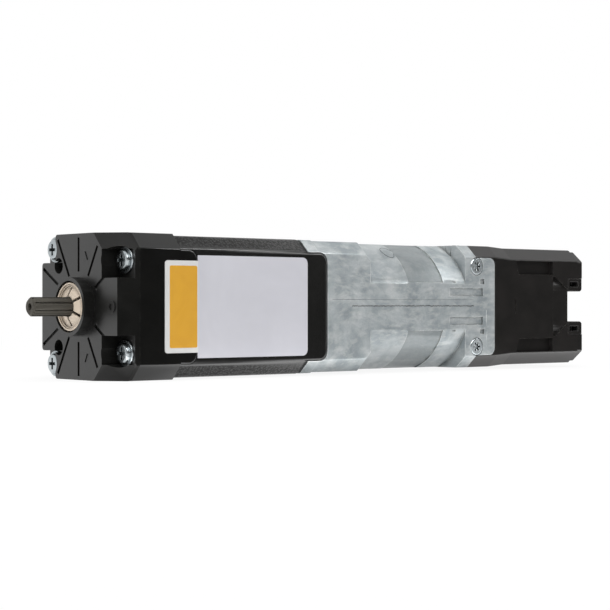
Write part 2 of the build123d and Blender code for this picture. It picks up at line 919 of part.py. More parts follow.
def motor_housing():
    inner = motor_section(housing_wall)
    shell = prism(limit_end, motor_end, motor_outline())
    shell += prism(motor_end, gear_start, motor_outline(lip_drop))
    tongue_end = gear_start + motor_tongue
    tongue = soft_plate(
        motor_end - bite, tongue_end, tongue_half_height,
        half_width - tongue_thick, half_width, tongue_corner, tongue_edge,
    )
    shell += both_sides(tongue & prism(motor_end - bite, tongue_end, motor_outline()))
    shell -= prism(limit_end - over, gear_start + over, inner)
    seat = half_width + limit_proud - tongue_thick - fit_gap
    recess = plate_on_side(
        limit_end - over, limit_end + limit_tongue + fit_gap,
        tongue_half_height + fit_gap, seat, half_width + over, tongue_corner,
    )
    shell -= both_sides(recess)
    low = stator_radius - rib_reach
    ribs = block(stator_start, stator_end, -rib_half_width, rib_half_width, low, motor_half_height - over)
    side_rib = block(stator_start, stator_end, low, half_width - over, -rib_half_width, rib_half_width)
    shell += mirrored(ribs) + both_sides(side_rib)
    return shell - rod(stator_start - over, stator_end + over, stator_radius + seat_gap)


def stator_core():
    # A ring of laminations with open slots along its bore
    core = tube(stator_start, stator_end, stator_radius, stator_bore)
    x0 = stator_start - over
    x1 = stator_end + over
    half = slot_mouth / 2
    slot = coil_slot(0.0) + block(x0, x1, stator_bore - over, slot_inner + bite, -half, half)
    for index in range(slot_count):
        core -= Rot(index * 360 / slot_count, 0, 0) * slot
    return core


def coil_slot(inset):
    # The wide part of a stator slot, or the coil side that fills it
    wide = slot_width / 2 - inset
    x0 = stator_start - over
    return block(x0, stator_end + over, slot_inner + inset, slot_outer - inset, -wide, wide)


def stator_windings():
    left = tube(coil_start, stator_start - slot_lining, coil_outer, coil_inner)
    right = tube(stator_end + slot_lining, coil_end, coil_outer, coil_inner)
    winding = left + right
    for index in range(slot_count):
        winding += Rot(index * 360 / slot_count, 0, 0) * coil_slot(slot_lining)
    return winding


def rotor_core():
    core = tube(stator_start, stator_end, rotor_radius, sleeve_radius)
    left = tube(stator_start - end_ring_length, stator_start, end_ring_radius, sleeve_radius)
    right = tube(stator_end, stator_end + end_ring_length, end_ring_radius, sleeve_radius)
    return core + left + right


def rotor_sleeve():
    # The hollow motor shaft that turns round the drive shaft and ends in the first sun gear
    start = shield_left - over
    sun_start = reaction_x + reaction_thick
    sun_end = stage_start(0) + planet_widths[0] + carrier_gap / 2
    body = rod(start, sun_start, sleeve_radius)
    body += gear(sun_start, sun_end, sun_teeth, planet_module)
    return body - rod(start - over, sun_end + over, sleeve_bore)


def end_shield(start):
    inner = motor_section(housing_wall + fit_gap)
    shield = prism(start, start + shield_thick, inner)
    return shield - rod(start - over, start + shield_thick + over, bearing_radius)


def rotor_bearings():
    bore = sleeve_radius + running_gap
    return [tube(x, x + shield_thick, bearing_radius, bore) for x in (shield_left, shield_right)]


def brake_pin_places():
    return around(brake_pin_count, brake_pin_circle, 90)


def brake_pins():
    end = reaction_x + reaction_thick
    return [rod(coil_plate, end, brake_pin_radius, y, z) for y, z in brake_pin_places()]


def brake_groove(end):
    # The ring-shaped space in the coil body that holds its winding
    return tube(coil_plate + brake_seat, end, brake_coil_radius - brake_rim, brake_bore + brake_inner_rim)


def brake_coil():
    end = coil_plate + brake_coil_length
    body = tube(coil_plate, end, brake_coil_radius, brake_bore)
    spring_room = spring_mean_radius + spring_wire / 2 + free_gap
    for y, z in brake_pin_places():
        body -= rod(coil_plate - over, end + over, spring_room, y, z)
    return body - brake_groove(end + over)


def brake_winding():
    return brake_groove(coil_plate + brake_coil_length - winding_setback)


def brake_armature():
    # The plate that the coil pulls, with three ears that slide on the guide pins
    x1 = armature_x + armature_thick
    plate = tube(armature_x, x1, brake_coil_radius - armature_inset, brake_bore)
    for y, z in brake_pin_places():
        plate += rod(armature_x, x1, brake_pin_radius + armature_ear_wall, y, z)
    for y, z in brake_pin_places():
        plate -= rod(armature_x - over, x1 + over, brake_pin_radius + running_gap, y, z)
    return plate


def brake_springs():
    # Three short coil springs round the guide pins, behind the armature's ears
    length = armature_x - coil_plate - brake_travel - 2 * running_gap - spring_wire
    path = Helix(length / spring_turns, length, spring_mean_radius, center=(0, 0, 0))
    plane = Plane(origin=path @ 0, z_dir=path % 0)
    coil = sweep(plane * Circle(spring_wire / 2), path=path, is_frenet=True)
    start = coil_plate + spring_wire / 2 + running_gap
    return [Pos(start, y, z) * Rot(0, 90, 0) * coil for y, z in brake_pin_places()]


def brake_disc():
    return tube(disc_x, disc_x + disc_thick, disc_radius, sleeve_radius)


def reaction_plate():
    x1 = reaction_x + reaction_thick
    plate = tube(reaction_x, x1, gear_bore - seat_gap, brake_bore)
    for y, z in brake_pin_places():
        plate -= rod(reaction_x - over, x1 + over, brake_pin_radius, y, z)
    return plate


def ring_gear():
    x0 = stage_start(0) - ring_front
    pitch = ring_teeth * planet_module / 2
    tip = pitch - ring_addendum * planet_module
    root = pitch + dedendum * planet_module
    spaces = gear_outline(ring_teeth, planet_module, root, tip, -backlash)
    outline = Circle(ring_outer) - Rot(0, 0, 180 / ring_teeth) * spaces
    return prism(x0, ring_end, outline)


def planet_gear(stage, index):
    degrees = 360 * index / planet_count
    y, z = polar(centre_distance, degrees)
    x0 = stage_start(stage)
    x1 = x0 + planet_widths[stage]
    turn = degrees + 180 + 180 / planet_teeth
    body = gear(x0, x1, planet_teeth, planet_module, turn, y, z)
    return body - rod(x0 - over, x1 + over, planet_pin_radius + running_gap, y, z)


def planet_pins(stage):
    x0 = stage_start(stage)
    x1 = carrier_end(stage)
    return [rod(x0, x1, planet_pin_radius, y, z) for y, z in around(planet_count, centre_distance)]


def carrier_plate(stage):
    # A disc with holes for the planet pins and lightening holes between them
    x0 = carrier_start(stage)
    x1 = carrier_end(stage)
    plate = rod(x0, x1, carrier_radius)
    for y, z in around(planet_count, centre_distance):
        plate -= rod(x0 - over, x1 + over, planet_pin_radius, y, z)
    for y, z in around(planet_count, centre_distance, 180 / planet_count):
        plate -= rod(x0 - over, x1 + over, lightening_radius, y, z)
    return plate


def carrier(stage):
    # A carrier with the next stage's sun gear on its far side
    next_end = stage_start(stage + 1) + planet_widths[stage + 1] + carrier_gap / 2
    body = carrier_plate(stage) + gear(carrier_end(stage), next_end, sun_teeth, planet_module)
    return body - rod(carrier_start(stage) - over, next_end + over, sleeve_bore)


def output_carrier():
    body = carrier_plate(2) + rod(carrier_end(2), hub_end, hub_radius)
    body -= rod(carrier_start(2) - over, hub_end + over, journal_radius + seat_gap)
    return body - hub_pin_rod(hub_pin_radius)


def hub_pin():
    return hub_pin_rod(hub_pin_radius - seat_gap)


def output_bush():
    bore = hub_radius + running_gap
    return tube(bush_x, bush_x + bush_length, bore + bush_wall, bore)


def bearing_plate():
    bore = hub_radius + running_gap + bush_wall
    plate = tube(bush_x, bush_x + bush_length, gear_bore - seat_gap, bore)
    middle = (bore + gear_bore) / 2
    for y, z in around(plate_pocket_count, middle, 180 / plate_pocket_count):
        plate -= rod(bush_x - over, bush_x + bush_length / 2, plate_pocket_radius, y, z)
    return plate


def drum_outline(radius):
    square = Rectangle(2 * half_width, 2 * drum_half_height)
    return Circle(radius) & square


def ear_screw_places():
    x = gear_end + ear_length - ear_screw_setback
    return [(x, side * ear_screw_height) for side in (1, -1)]


def gear_housing():
    octagon_end = gear_start + octagon_length
    nose_end = octagon_end + nose_length
    flange_x = gear_end - flange_length
    section = gear_outline_at(gear_half_height)
    body = prism(gear_start, octagon_end, section)
    body += prism(gear_start, gear_start + collar_band, gear_outline_at(gear_half_height + collar_rise))
    nose = rounded(half_width, drum_half_height, nose_chamfer, gear_edge)
    body += loft([face_at(octagon_end) * section, face_at(nose_end) * nose])
    body += prism(nose_end, flange_x, drum_outline(drum_radius))
    band_x = gear_start + band_start
    band = prism(band_x, band_x + band_length, Circle(2 * drum_radius) - Circle(drum_radius - band_depth))
    body -= band
    body += prism(band_x - bite, band_x + band_length + bite, Rectangle(2 * half_width, 2 * rail_half_height))
    body += prism(flange_x, gear_end, section)
    ear = soft_plate(
        gear_end - over, gear_end + ear_length, ear_half_height,
        half_width - ear_thick, half_width, ear_corner, ear_edge,
    )
    body += both_sides(ear)
    tongue_seat = plate_on_side(
        gear_start - over, gear_start + motor_tongue + fit_gap, tongue_half_height + fit_gap,
        half_width - tongue_thick - fit_gap, half_width + over, tongue_corner,
    )
    body -= both_sides(tongue_seat)
    body += prism(gear_start - spigot_length, gear_start, motor_section(housing_wall + fit_gap))
    body -= rod(motor_end - over, rear_wall_start, gear_bore)
    body -= rod(rear_wall_start + rear_wall, gear_end + over, tail_side_bore)
    body -= rod(rear_wall_start - over, rear_wall_start + rear_wall + over, rear_bore)
    body -= tail_lugs(fit_gap)
    for ahead, length, low, high, depth in side_recesses:
        x = gear_end + ear_length - ahead
        recess = block(x, x + length, -half_width - over, -half_width + depth, low, high)
        body -= both_sides(mirrored(recess))
    for x, z in ear_screw_places():
        hole = rod_y(-half_width - over, -half_width + ear_thick + over, ear_screw_radius + fit_gap, x, z)
        sink = rod_y(-half_width - over, -half_width + ear_head_sink, ear_head_radius + head_gap, x, z)
        body -= both_sides(hole + sink)
    return body


def ear_screws():
    screws = []
    for x, z in ear_screw_places():
        seat = -half_width + ear_head_sink
        head = rod_y(seat - ear_head_height, seat, ear_head_radius, x, z)
        head = fillet(head.edges().filter_by(GeomType.CIRCLE).group_by(Axis.Y)[0], ear_screw_rounding)
        shank = rod_y(seat, seat + ear_screw_length, ear_screw_radius - seat_gap, x, z)
        screw = head + shank
        for turn in range(3):
            slot = Rot(0, 60 * turn, 0) * Box(*star_slot)
            screw -= Pos(x, seat - ear_head_height, z) * slot
        screws.append(screw)
        screws.append(mirror(screw, Plane.XZ))
    return screws


def tail_lugs(gap=0.0):
    # Blocks of the tail housing that reach forward under the ears and take the ear screws
    outer = half_width - ear_thick - fit_gap
    lug = block(
        gear_end - lug_length - gap, gear_end + lug_root, -outer - gap, lug_depth - half_width + gap,
        lug_z[0] - gap, lug_z[1] + gap,
    )
    return both_sides(mirrored(lug))


# Derived places in the tail
tail_half_height = gear_half_height - tail_drop
tail_room = web_x - gear_end
board_length = tail_room - board_start - board_end_gap
board_y = tail_side_wall + board_side_gap - half_width
board_half_height = tail_half_height - tail_wall - board_edge_gap
capacitor_length = tail_room - capacitor_start - capacitor_end_gap
capacitor_y = half_width - tail_side_wall - capacitor_radius - capacitor_gap[0]
capacitor_z = tail_wall + capacitor_radius + capacitor_gap[1] - tail_half_height
socket_inner_y = half_width - socket_reach
terminal_start = relay_block[0] + relay_block[1] + terminal_gap
terminal_length = board_length - terminal_start - terminal_gap
terminal_block = (terminal_start, terminal_length) + terminal_size
fuse_start = bridge_block[0] + bridge_block[1] + fuse_gap
fuse_length = board_length - fuse_start - fuse_edge


def tail_outer():
    # The chamfered section, which tapers to a lower rear part and steps down at its end
    x1 = gear_end + taper_start
    x2 = x1 + taper_length
    run, rise = gear_chamfer
    high = gear_outline_at(gear_half_height)
    low = gear_outline_at(tail_half_height)
    body = prism(gear_end, x1, high)
    body += loft([face_at(x1) * high, face_at(x2) * low])
    body += prism(x2, tail_end - end_step, low)
    end_shape = rounded(half_width, tail_half_height - end_drop, (run, rise - end_drop / 2), gear_edge)
    body += prism(tail_end - end_step, tail_end, end_shape)
    return body


def tail_inner():
    high = tail_half_height - tail_wall
    return octagon(half_width - tail_side_wall, high, gear_chamfer)


def side_pockets():
    x0 = tail_end - side_pocket[0]
    x1 = tail_end - side_pocket[1]
    z0 = side_pocket[2]
    z1 = side_pocket[3]
    points = [(x0, z1), (x0 + side_pocket_slant, z0), (x1, z0), (x1, z1)]
    plane = Plane(origin=(0, -half_width + side_pocket_depth, 0), x_dir=(1, 0, 0), z_dir=(0, -1, 0))
    pocket = extrude(plane * Polygon(*points, align=None), side_pocket_depth + over, dir=(0, -1, 0))
    return both_sides(mirrored(pocket))


def insert_shape(gap=0.0):
    body = block(notch_x, tail_end, -half_width, half_width, notch_half, insert_top)
    inset = insert_key_inset - gap
    key = block(
        notch_x + inset, tail_end - inset, -half_width + inset, half_width - inset,
        insert_top - bite, insert_top + insert_key + gap,
    )
    return body + key


def throats():
    # The shallow step ahead of the notch, which rounds over towards the prongs above and below
    x0 = notch_x - throat_length
    out = half_width + over
    side = half_width - throat_depth
    full = math.radians(throat_turn)
    half_turn = throat_round * math.sin(full / 2)
    half_drop = throat_round * (1 - math.cos(full / 2))
    turn = throat_round * math.sin(full)
    drop = throat_round * (1 - math.cos(full))
    edge = (side - drop, throat_flat + turn)
    corner = (edge[0] - (throat_half - edge[1]) * math.tan(full), throat_half)
    outline = Polyline((out, 0), (side, 0), (side, throat_flat))
    outline += ThreePointArc((side, throat_flat), (side - half_drop, throat_flat + half_turn), edge)
    outline += Polyline(edge, corner, (out, throat_half), (out, 0))
    cut = both_sides(mirrored(prism(x0, notch_x, make_face(outline))))
    plan = [(x0, throat_half), (x0 + throat_lead, throat_half), (notch_x, throat_flat)]
    plan += [(x, -z) for x, z in reversed(plan)]
    return cut & extrude(Plane.XZ * Polygon(*plan, align=None), out, both=True)


def tail_housing():
    body = tail_outer() - prism(gear_end - over, web_x, tail_inner())
    body -= side_pockets()
    ahead, wide, reach, deep = side_slit
    x = gear_end + ahead
    body -= both_sides(block(x, x + wide, -half_width - over, deep - half_width, -reach, reach))
    body -= block(notch_x, tail_end + over, -half_width - over, half_width + over, -insert_top, insert_top)
    body -= mirrored(insert_shape(fit_gap))
    body -= throats()
    ear_seat = plate_on_side(
        gear_end - over, gear_end + ear_length + fit_gap, ear_half_height + fit_gap,
        half_width - ear_thick - fit_gap, half_width + over, ear_corner,
    )
    body -= both_sides(ear_seat)
    body += capacitor_cradles() + board_rails()
    body += tail_lugs()
    body -= rod(web_x - over, notch_x + over, tail_bush_radius + seat_gap)
    x0 = gear_end + socket_start
    body -= block(
        x0 - fit_gap, x0 + socket_length + fit_gap, half_width / 2, half_width + over,
        socket_z[0] - fit_gap, socket_z[1] + fit_gap,
    )
    for x, z in ear_screw_places():
        hole_end = ear_head_sink + ear_screw_length + free_gap - half_width
        body -= both_sides(rod_y(-half_width, hole_end, ear_screw_radius, x, z))
    return body


def capacitor_cradles():
    # Ribs from the floor of the tail that hold the capacitor
    y = capacitor_y
    z = capacitor_z
    reach, rise = cradle_reach
    floor = -tail_half_height + tail_wall - bite
    side = half_width - tail_side_wall + bite
    cradles = Part()
    for share in cradle_shares:
        x = gear_end + capacitor_start + share * capacitor_length
        cradles += block(x - cradle_width / 2, x + cradle_width / 2, y - reach, side, floor, z + rise)
    cradles -= rod(gear_end, web_x, capacitor_radius + fit_gap, y, z)
    return cradles & tail_outer()


def board_rails():
    # Slotted rails above and below that hold the edges of the board
    x0 = gear_end + board_start
    x1 = x0 + board_length
    half_rail = rail_width / 2
    half_slot = board_thick / 2 + fit_gap
    top = tail_half_height - tail_wall + bite
    edge = board_half_height
    rail = block(x0, x1, board_y - half_rail, board_y + half_rail, edge - rail_grip, top)
    rail -= block(x0 - over, x1 + over, board_y - half_slot, board_y + half_slot, 0, edge + fit_gap)
    return mirrored(rail) & tail_outer()


def mounting_inserts():
    body = insert_shape()
    x0, wide, z0, z1 = insert_slot
    start = notch_x + x0
    slot = block(start, start + wide, -half_width - over, -half_width + insert_slot_depth, z0, z1)
    body = fillet(body.edges().filter_by(Axis.Y).group_by(Axis.Z)[0].sort_by(Axis.X)[-1:], insert_corner)
    body -= both_sides(slot)
    return [body, mirror(body, Plane.XY)]


def tail_bush():
    return tube(web_x, notch_x, tail_bush_radius, shaft_bore)


def capacitor():
    y = capacitor_y
    z = capacitor_z
    x0 = gear_end + capacitor_start
    x1 = x0 + capacitor_length
    can = rod(x0, x1, capacitor_radius, y, z)
    can = fillet(can.edges().filter_by(GeomType.CIRCLE), capacitor_rounding)
    length, thick, high = capacitor_tag
    for side in (1, -1):
        middle = z + side * capacitor_tag_offset
        low = middle - high / 2
        can += block(x0 - length, x0 + bite, y - thick / 2, y + thick / 2, low, low + high)
    return can


def circuit_board():
    x0 = gear_end + board_start
    half = board_thick / 2
    high = board_half_height
    return block(x0, x0 + board_length, board_y - half, board_y + half, -high, high)


def on_board(place):
    # A block that stands on the board
    start, length, height, low, high = place
    x = gear_end + board_start + start
    y = board_y + board_thick / 2
    return block(x, x + length, y, y + height, low, high)


def board_parts():
    # Relay, terminal block, choke, bridge and fuse
    y = board_y + board_thick / 2
    edge = gear_end + board_start
    terminal = on_board(terminal_block)
    start, length, height, low, high = terminal_block
    pitch = (length - 2 * terminal_screw_start) / (terminal_screw_count - 1)
    for index in range(terminal_screw_count):
        x = edge + start + terminal_screw_start + pitch * index
        top = y + height
        terminal -= rod_y(top - terminal_screw_depth, top + over, terminal_screw_radius, x, (low + high) / 2)
    ahead, radius, height, z = choke_size
    choke = rod_y(y, y + height, radius, edge + ahead, z)
    radius, z = fuse_size
    x = edge + fuse_start
    fuse = rod(x, x + fuse_length, radius, y + radius, z)
    return [on_board(relay_block), terminal, choke, on_board(bridge_block), fuse]


def contact_places():
    x0 = gear_end + socket_start
    return [x0 + socket_length * (index + 1) / (contact_count + 1) for index in range(contact_count)]


def socket_contacts():
    z = (socket_z[0] + socket_z[1]) / 2
    start = socket_inner_y - contact_tail
    end = half_width - socket_depth + contact_length
    return [rod_y(start, end, contact_radius, x, z) for x in contact_places()]


def inlet_socket():
    # The recess that the mains lead plugs into, on the far side
    x0 = gear_end + socket_start
    x1 = x0 + socket_length
    z0, z1 = socket_z
    body = block(x0, x1, socket_inner_y, half_width, z0, z1)
    wall = socket_wall
    floor = half_width - socket_depth
    body -= block(x0 + wall, x1 - wall, floor, half_width + over, z0 + wall, z1 - wall)
    for x in contact_places():
        body -= rod_y(socket_inner_y - over, floor + over, contact_radius, x, (z0 + z1) / 2)
    return body


def badge_plate():
    outer = half_width + limit_proud
    x1 = limit_end + limit_tongue
    plate = block(badge_start, x1, -outer - badge_thick, -outer, -badge_height / 2, badge_height / 2)
    corners = plate.edges().filter_by(Axis.Y).group_by(Axis.X)[0]
    return fillet(corners, badge_corner)


def rating_label():
    x0 = limit_end + limit_tongue + fit_gap
    high = label_half_height
    label = block(x0, x0 + label_length, -half_width - label_thick, -half_width, -high, high)
    corners = label.edges().filter_by(Axis.Y).group_by(Axis.X)[-1]
    return fillet(corners, label_corner)


def write(name, shape):
    # One file for each piece, or for each set of identical pieces
    solids = shape if isinstance(shape, list) else [shape]
    node = Compound(children=[Compound(children=[s]) for s in solids]) if len(solids) > 1 else solids[0]
    node.label = name
    export_step(node, os.path.join("parts", name + ".step"))


os.makedirs("parts", exist_ok=True)

lay_neck = [(cam_up_disc - neck_gap, cam_down_x - neck_gap)]

nodes = {
    "limit_end_cap": limit_end_cap(),
    "limit_housing": limit_housing(),
    "cap_screws": cap_screws(),
    "badge_plate": badge_plate(),
    "rating_label": rating_label(),
    "drive_shaft": drive_shaft(),
    "drive_ring": drive_ring(),
    "limit_drive_gear": limit_drive_gear(),
    "lay_wheel_1": lay_wheel(train_start, second_x - wheel_end_gap),
    "counter_wheel": counter_wheel(),
    "lay_wheel_2": lay_wheel(second_x, cam_down_disc, lay_neck),
    "cam_wheel_up": cam_wheel(cam_up_x, cam_up_angle),
    "cam_wheel_down": cam_wheel(cam_down_x, cam_down_angle),
    "limit_sleeve": limit_sleeve(),
    "limit_plate": limit_plate(),
    "adjuster_up": adjuster(1),
    "adjuster_down": adjuster(-1),
    "switch_arm_up": switch_arm(1),
    "switch_arm_down": switch_arm(-1),
    "microswitch_up": microswitch(1),
    "microswitch_down": microswitch(-1),
    "switch_lever_up": switch_lever(1),
    "switch_lever_down": switch_lever(-1),
    "motor_housing": motor_housing(),
    "stator_core": stator_core(),
    "motor_windings": [stator_windings(), brake_winding()],
    "rotor_core": rotor_core(),
    "rotor_sleeve": rotor_sleeve(),
    "end_shields": [end_shield(shield_left), end_shield(shield_right)],
    "bearing_bushes": rotor_bearings() + [output_bush(), tail_bush()],
    "brake_coil": brake_coil(),
    "guide_pins": brake_pins() + [lay_axle()],
    "brake_springs": brake_springs(),
    "brake_armature": brake_armature(),
    "brake_disc": brake_disc(),
    "reaction_plate": reaction_plate(),
    "ring_gear": ring_gear(),
    "carrier_1": [carrier(0)] + planet_pins(0),
    "carrier_2": [carrier(1)] + planet_pins(1),
    "output_carrier": [output_carrier()] + planet_pins(2),
    "hub_pin": hub_pin(),
    "bearing_plate": bearing_plate(),
    "gear_housing": gear_housing(),
    "ear_screws": ear_screws(),
    "tail_housing": tail_housing(),
    "mounting_inserts": mounting_inserts(),
    "capacitor": capacitor(),
    "circuit_board": circuit_board(),
    "board_parts": board_parts(),
    "inlet_socket": inlet_socket(),
    "socket_contacts": socket_contacts(),
}

for stage in range(3):
    for index in range(planet_count):
        nodes[f"planet_{stage + 1}{'abc'[index]}"] = planet_gear(stage, index)

for name, shape in nodes.items():
    write(name, shape)
print(len(nodes), "nodes")
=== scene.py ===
import json
import math
import random

import bmesh
import bpy
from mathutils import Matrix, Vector
from mathutils.bvhtree import BVHTree


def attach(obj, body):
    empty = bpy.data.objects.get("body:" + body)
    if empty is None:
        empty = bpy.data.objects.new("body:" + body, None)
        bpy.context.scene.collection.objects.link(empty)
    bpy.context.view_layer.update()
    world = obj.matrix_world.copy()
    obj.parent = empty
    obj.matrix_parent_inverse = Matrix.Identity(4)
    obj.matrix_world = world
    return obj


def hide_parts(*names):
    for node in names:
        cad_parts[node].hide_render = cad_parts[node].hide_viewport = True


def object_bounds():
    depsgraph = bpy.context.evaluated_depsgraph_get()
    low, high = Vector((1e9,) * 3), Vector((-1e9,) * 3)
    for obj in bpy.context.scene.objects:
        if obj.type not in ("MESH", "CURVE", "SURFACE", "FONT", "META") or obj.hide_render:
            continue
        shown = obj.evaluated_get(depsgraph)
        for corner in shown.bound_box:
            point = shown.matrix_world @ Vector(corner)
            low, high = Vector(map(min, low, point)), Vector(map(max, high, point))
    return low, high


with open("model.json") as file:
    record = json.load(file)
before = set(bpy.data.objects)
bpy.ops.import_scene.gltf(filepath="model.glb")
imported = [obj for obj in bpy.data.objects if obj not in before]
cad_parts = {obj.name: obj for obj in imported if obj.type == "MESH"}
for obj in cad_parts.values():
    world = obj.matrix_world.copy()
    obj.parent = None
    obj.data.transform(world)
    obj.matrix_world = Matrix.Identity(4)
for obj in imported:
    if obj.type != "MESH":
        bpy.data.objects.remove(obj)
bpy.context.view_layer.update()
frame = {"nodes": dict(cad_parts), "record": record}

mm = 0.001  # the pieces' own sizes are in mm, the looks and the studio in metres


def say(text):
    print("blind motor:", text)


def addNode(tree, kind, settings=None, inputs=None):
    node = tree.nodes.new(kind)
    for key, value in (settings or {}).items():
        setattr(node, key, value)
    for key, value in (inputs or {}).items():
        if isinstance(value, bpy.types.NodeSocket):
            tree.links.new(value, node.inputs[key])
        else:
            node.inputs[key].default_value = value
    return node


def newGroup(name, inputs, outputs):
    tree = bpy.data.node_groups.new(name, "ShaderNodeTree")
    for label, kind, value in inputs:
        socket = tree.interface.new_socket(name=label, in_out="INPUT", socket_type=kind)
        socket.default_value = value
    for label, kind in outputs:
        tree.interface.new_socket(name=label, in_out="OUTPUT", socket_type=kind)
    return tree, tree.nodes.new("NodeGroupInput"), tree.nodes.new("NodeGroupOutput")


def mathNode(tree, operation, first, second=0.0, clamp=False):
    node = addNode(tree, "ShaderNodeMath", {"operation": operation, "use_clamp": clamp})
    for index, value in enumerate((first, second)):
        if isinstance(value, bpy.types.NodeSocket):
            tree.links.new(value, node.inputs[index])
        else:
            node.inputs[index].default_value = value
    return node.outputs[0]


def mapRange(tree, value, low, high, toLow=0.0, toHigh=1.0):
    node = addNode(tree, "ShaderNodeMapRange", {"clamp": True},
                   {"Value": value, "To Min": toLow, "To Max": toHigh})
    for key, edge in (("From Min", low), ("From Max", high)):
        if isinstance(edge, bpy.types.NodeSocket):
            tree.links.new(edge, node.inputs[key])
        else:
            node.inputs[key].default_value = edge
    return node.outputs["Result"]


def mixColour(tree, factor, first, second):
    node = addNode(tree, "ShaderNodeMix", {"data_type": "RGBA"})
    for index, value in ((0, factor), (6, first), (7, second)):
        if isinstance(value, bpy.types.NodeSocket):
            tree.links.new(value, node.inputs[index])
        else:
            node.inputs[index].default_value = value
    return node.outputs[2]


def linearTint(colour):
    # A colour as read off a screen, 0 to 255, in the linear values that the shader takes
    def linear(value):
        value /= 255
        return value / 12.92 if value <= 0.04045 else ((value + 0.055) / 1.055) ** 2.4
    return tuple(linear(value) for value in colour) + (1.0,)


def makeEdgeWearAndHighlight():
    # 1 along convex edges, broken up by noise; it marks rubbed edges and, on some looks, painted highlight
    # along them
    tree, source, sink = newGroup(
        "edgeWearAndHighlight",
        [("Radius", "NodeSocketFloat", 0.0004), ("Gain", "NodeSocketFloat", 6.0),
         ("Breakup", "NodeSocketFloat", 500.0)],
        [("Mask", "NodeSocketFloat")],
    )
    bevel = addNode(tree, "ShaderNodeBevel", {"samples": 4}, {"Radius": source.outputs["Radius"]})
    shape = addNode(tree, "ShaderNodeNewGeometry")
    dot = addNode(tree, "ShaderNodeVectorMath", {"operation": "DOT_PRODUCT"},
                  {0: bevel.outputs["Normal"], 1: shape.outputs["Normal"]})
    turn = mathNode(tree, "SUBTRACT", 1.0, dot.outputs["Value"])
    edge = mathNode(tree, "MULTIPLY", turn, source.outputs["Gain"], True)
    place = addNode(tree, "ShaderNodeTexCoord")
    noise = addNode(tree, "ShaderNodeTexNoise", None,
                    {"Vector": place.outputs["Object"], "Scale": source.outputs["Breakup"], "Detail": 3.0})
    spots = mapRange(tree, noise.outputs["Fac"], 0.38, 0.62)
    tree.links.new(mathNode(tree, "MULTIPLY", edge, spots), sink.inputs["Mask"])
    return tree


def makeFinish():
    # How far a surface faces the label sides (along Y), in the piece's own axes
    tree, source, sink = newGroup("finish", [], [("Side", "NodeSocketFloat")])
    place = addNode(tree, "ShaderNodeTexCoord")
    split = addNode(tree, "ShaderNodeSeparateXYZ", None, {"Vector": place.outputs["Normal"]})
    tree.links.new(mathNode(tree, "ABSOLUTE", split.outputs["Y"]), sink.inputs["Side"])
    return tree


def makeCornerShadeMask():
    # Mask for painted shade: 1 in narrow nooks and recesses, 0 on open faces
    tree, source, sink = newGroup("cornerShadeMask", [("Reach", "NodeSocketFloat", 0.002)],
                                  [("Mask", "NodeSocketFloat")])
    near = addNode(tree, "ShaderNodeAmbientOcclusion", {"samples": 6, "only_local": True},
                   {"Distance": source.outputs["Reach"]})
    tree.links.new(mapRange(tree, near.outputs["AO"], 0.35, 0.9, 1.0, 0.0), sink.inputs["Mask"])
    return tree


def makeMottle():
    # Two colours in soft drifts, with the same drift as a mask
    tree, source, sink = newGroup(
        "mottle",
        [("First", "NodeSocketColor", (0, 0, 0, 1)), ("Second", "NodeSocketColor", (1, 1, 1, 1)),
         ("Scale", "NodeSocketFloat", 60.0), ("Stretch", "NodeSocketVector", (1, 1, 1)),
         ("Low", "NodeSocketFloat", 0.35), ("High", "NodeSocketFloat", 0.65)],
        [("Colour", "NodeSocketColor"), ("Mask", "NodeSocketFloat")],
    )
    place = addNode(tree, "ShaderNodeTexCoord")
    pull = addNode(tree, "ShaderNodeVectorMath", {"operation": "MULTIPLY"},
                   {0: place.outputs["Object"], 1: source.outputs["Stretch"]})
    noise = addNode(tree, "ShaderNodeTexNoise", None,
                    {"Vector": pull.outputs["Vector"], "Scale": source.outputs["Scale"],
                     "Detail": 5.0, "Roughness": 0.55, "Distortion": 0.6})
    mask = mapRange(tree, noise.outputs["Fac"], source.outputs["Low"], source.outputs["High"])
    colour = mixColour(tree, mask, source.outputs["First"], source.outputs["Second"])
    tree.links.new(colour, sink.inputs["Colour"])
    tree.links.new(mask, sink.inputs["Mask"])
    return tree


def makeGrain():
    # Height of a spark-eroded mould surface, from fine to leathery
    tree, source, sink = newGroup(
        "mouldGrain",
        [("Fine", "NodeSocketFloat", 1800.0), ("Coarse", "NodeSocketFloat", 500.0),
         ("Leather", "NodeSocketFloat", 0.0)],
        [("Height", "NodeSocketFloat")],
    )
    place = addNode(tree, "ShaderNodeTexCoord")
    fine = addNode(tree, "ShaderNodeTexNoise", None,
                   {"Vector": place.outputs["Object"], "Scale": source.outputs["Fine"], "Detail": 2.0})
    cells = addNode(tree, "ShaderNodeTexVoronoi", {"feature": "SMOOTH_F1"},
                    {"Vector": place.outputs["Object"], "Scale": source.outputs["Coarse"],
                     "Smoothness": 0.5})
    leather = mathNode(tree, "MULTIPLY", cells.outputs["Distance"], source.outputs["Leather"])
    spark = mathNode(tree, "MULTIPLY", fine.outputs["Fac"], 0.35)
    tree.links.new(mathNode(tree, "ADD", spark, leather), sink.inputs["Height"])
    return tree


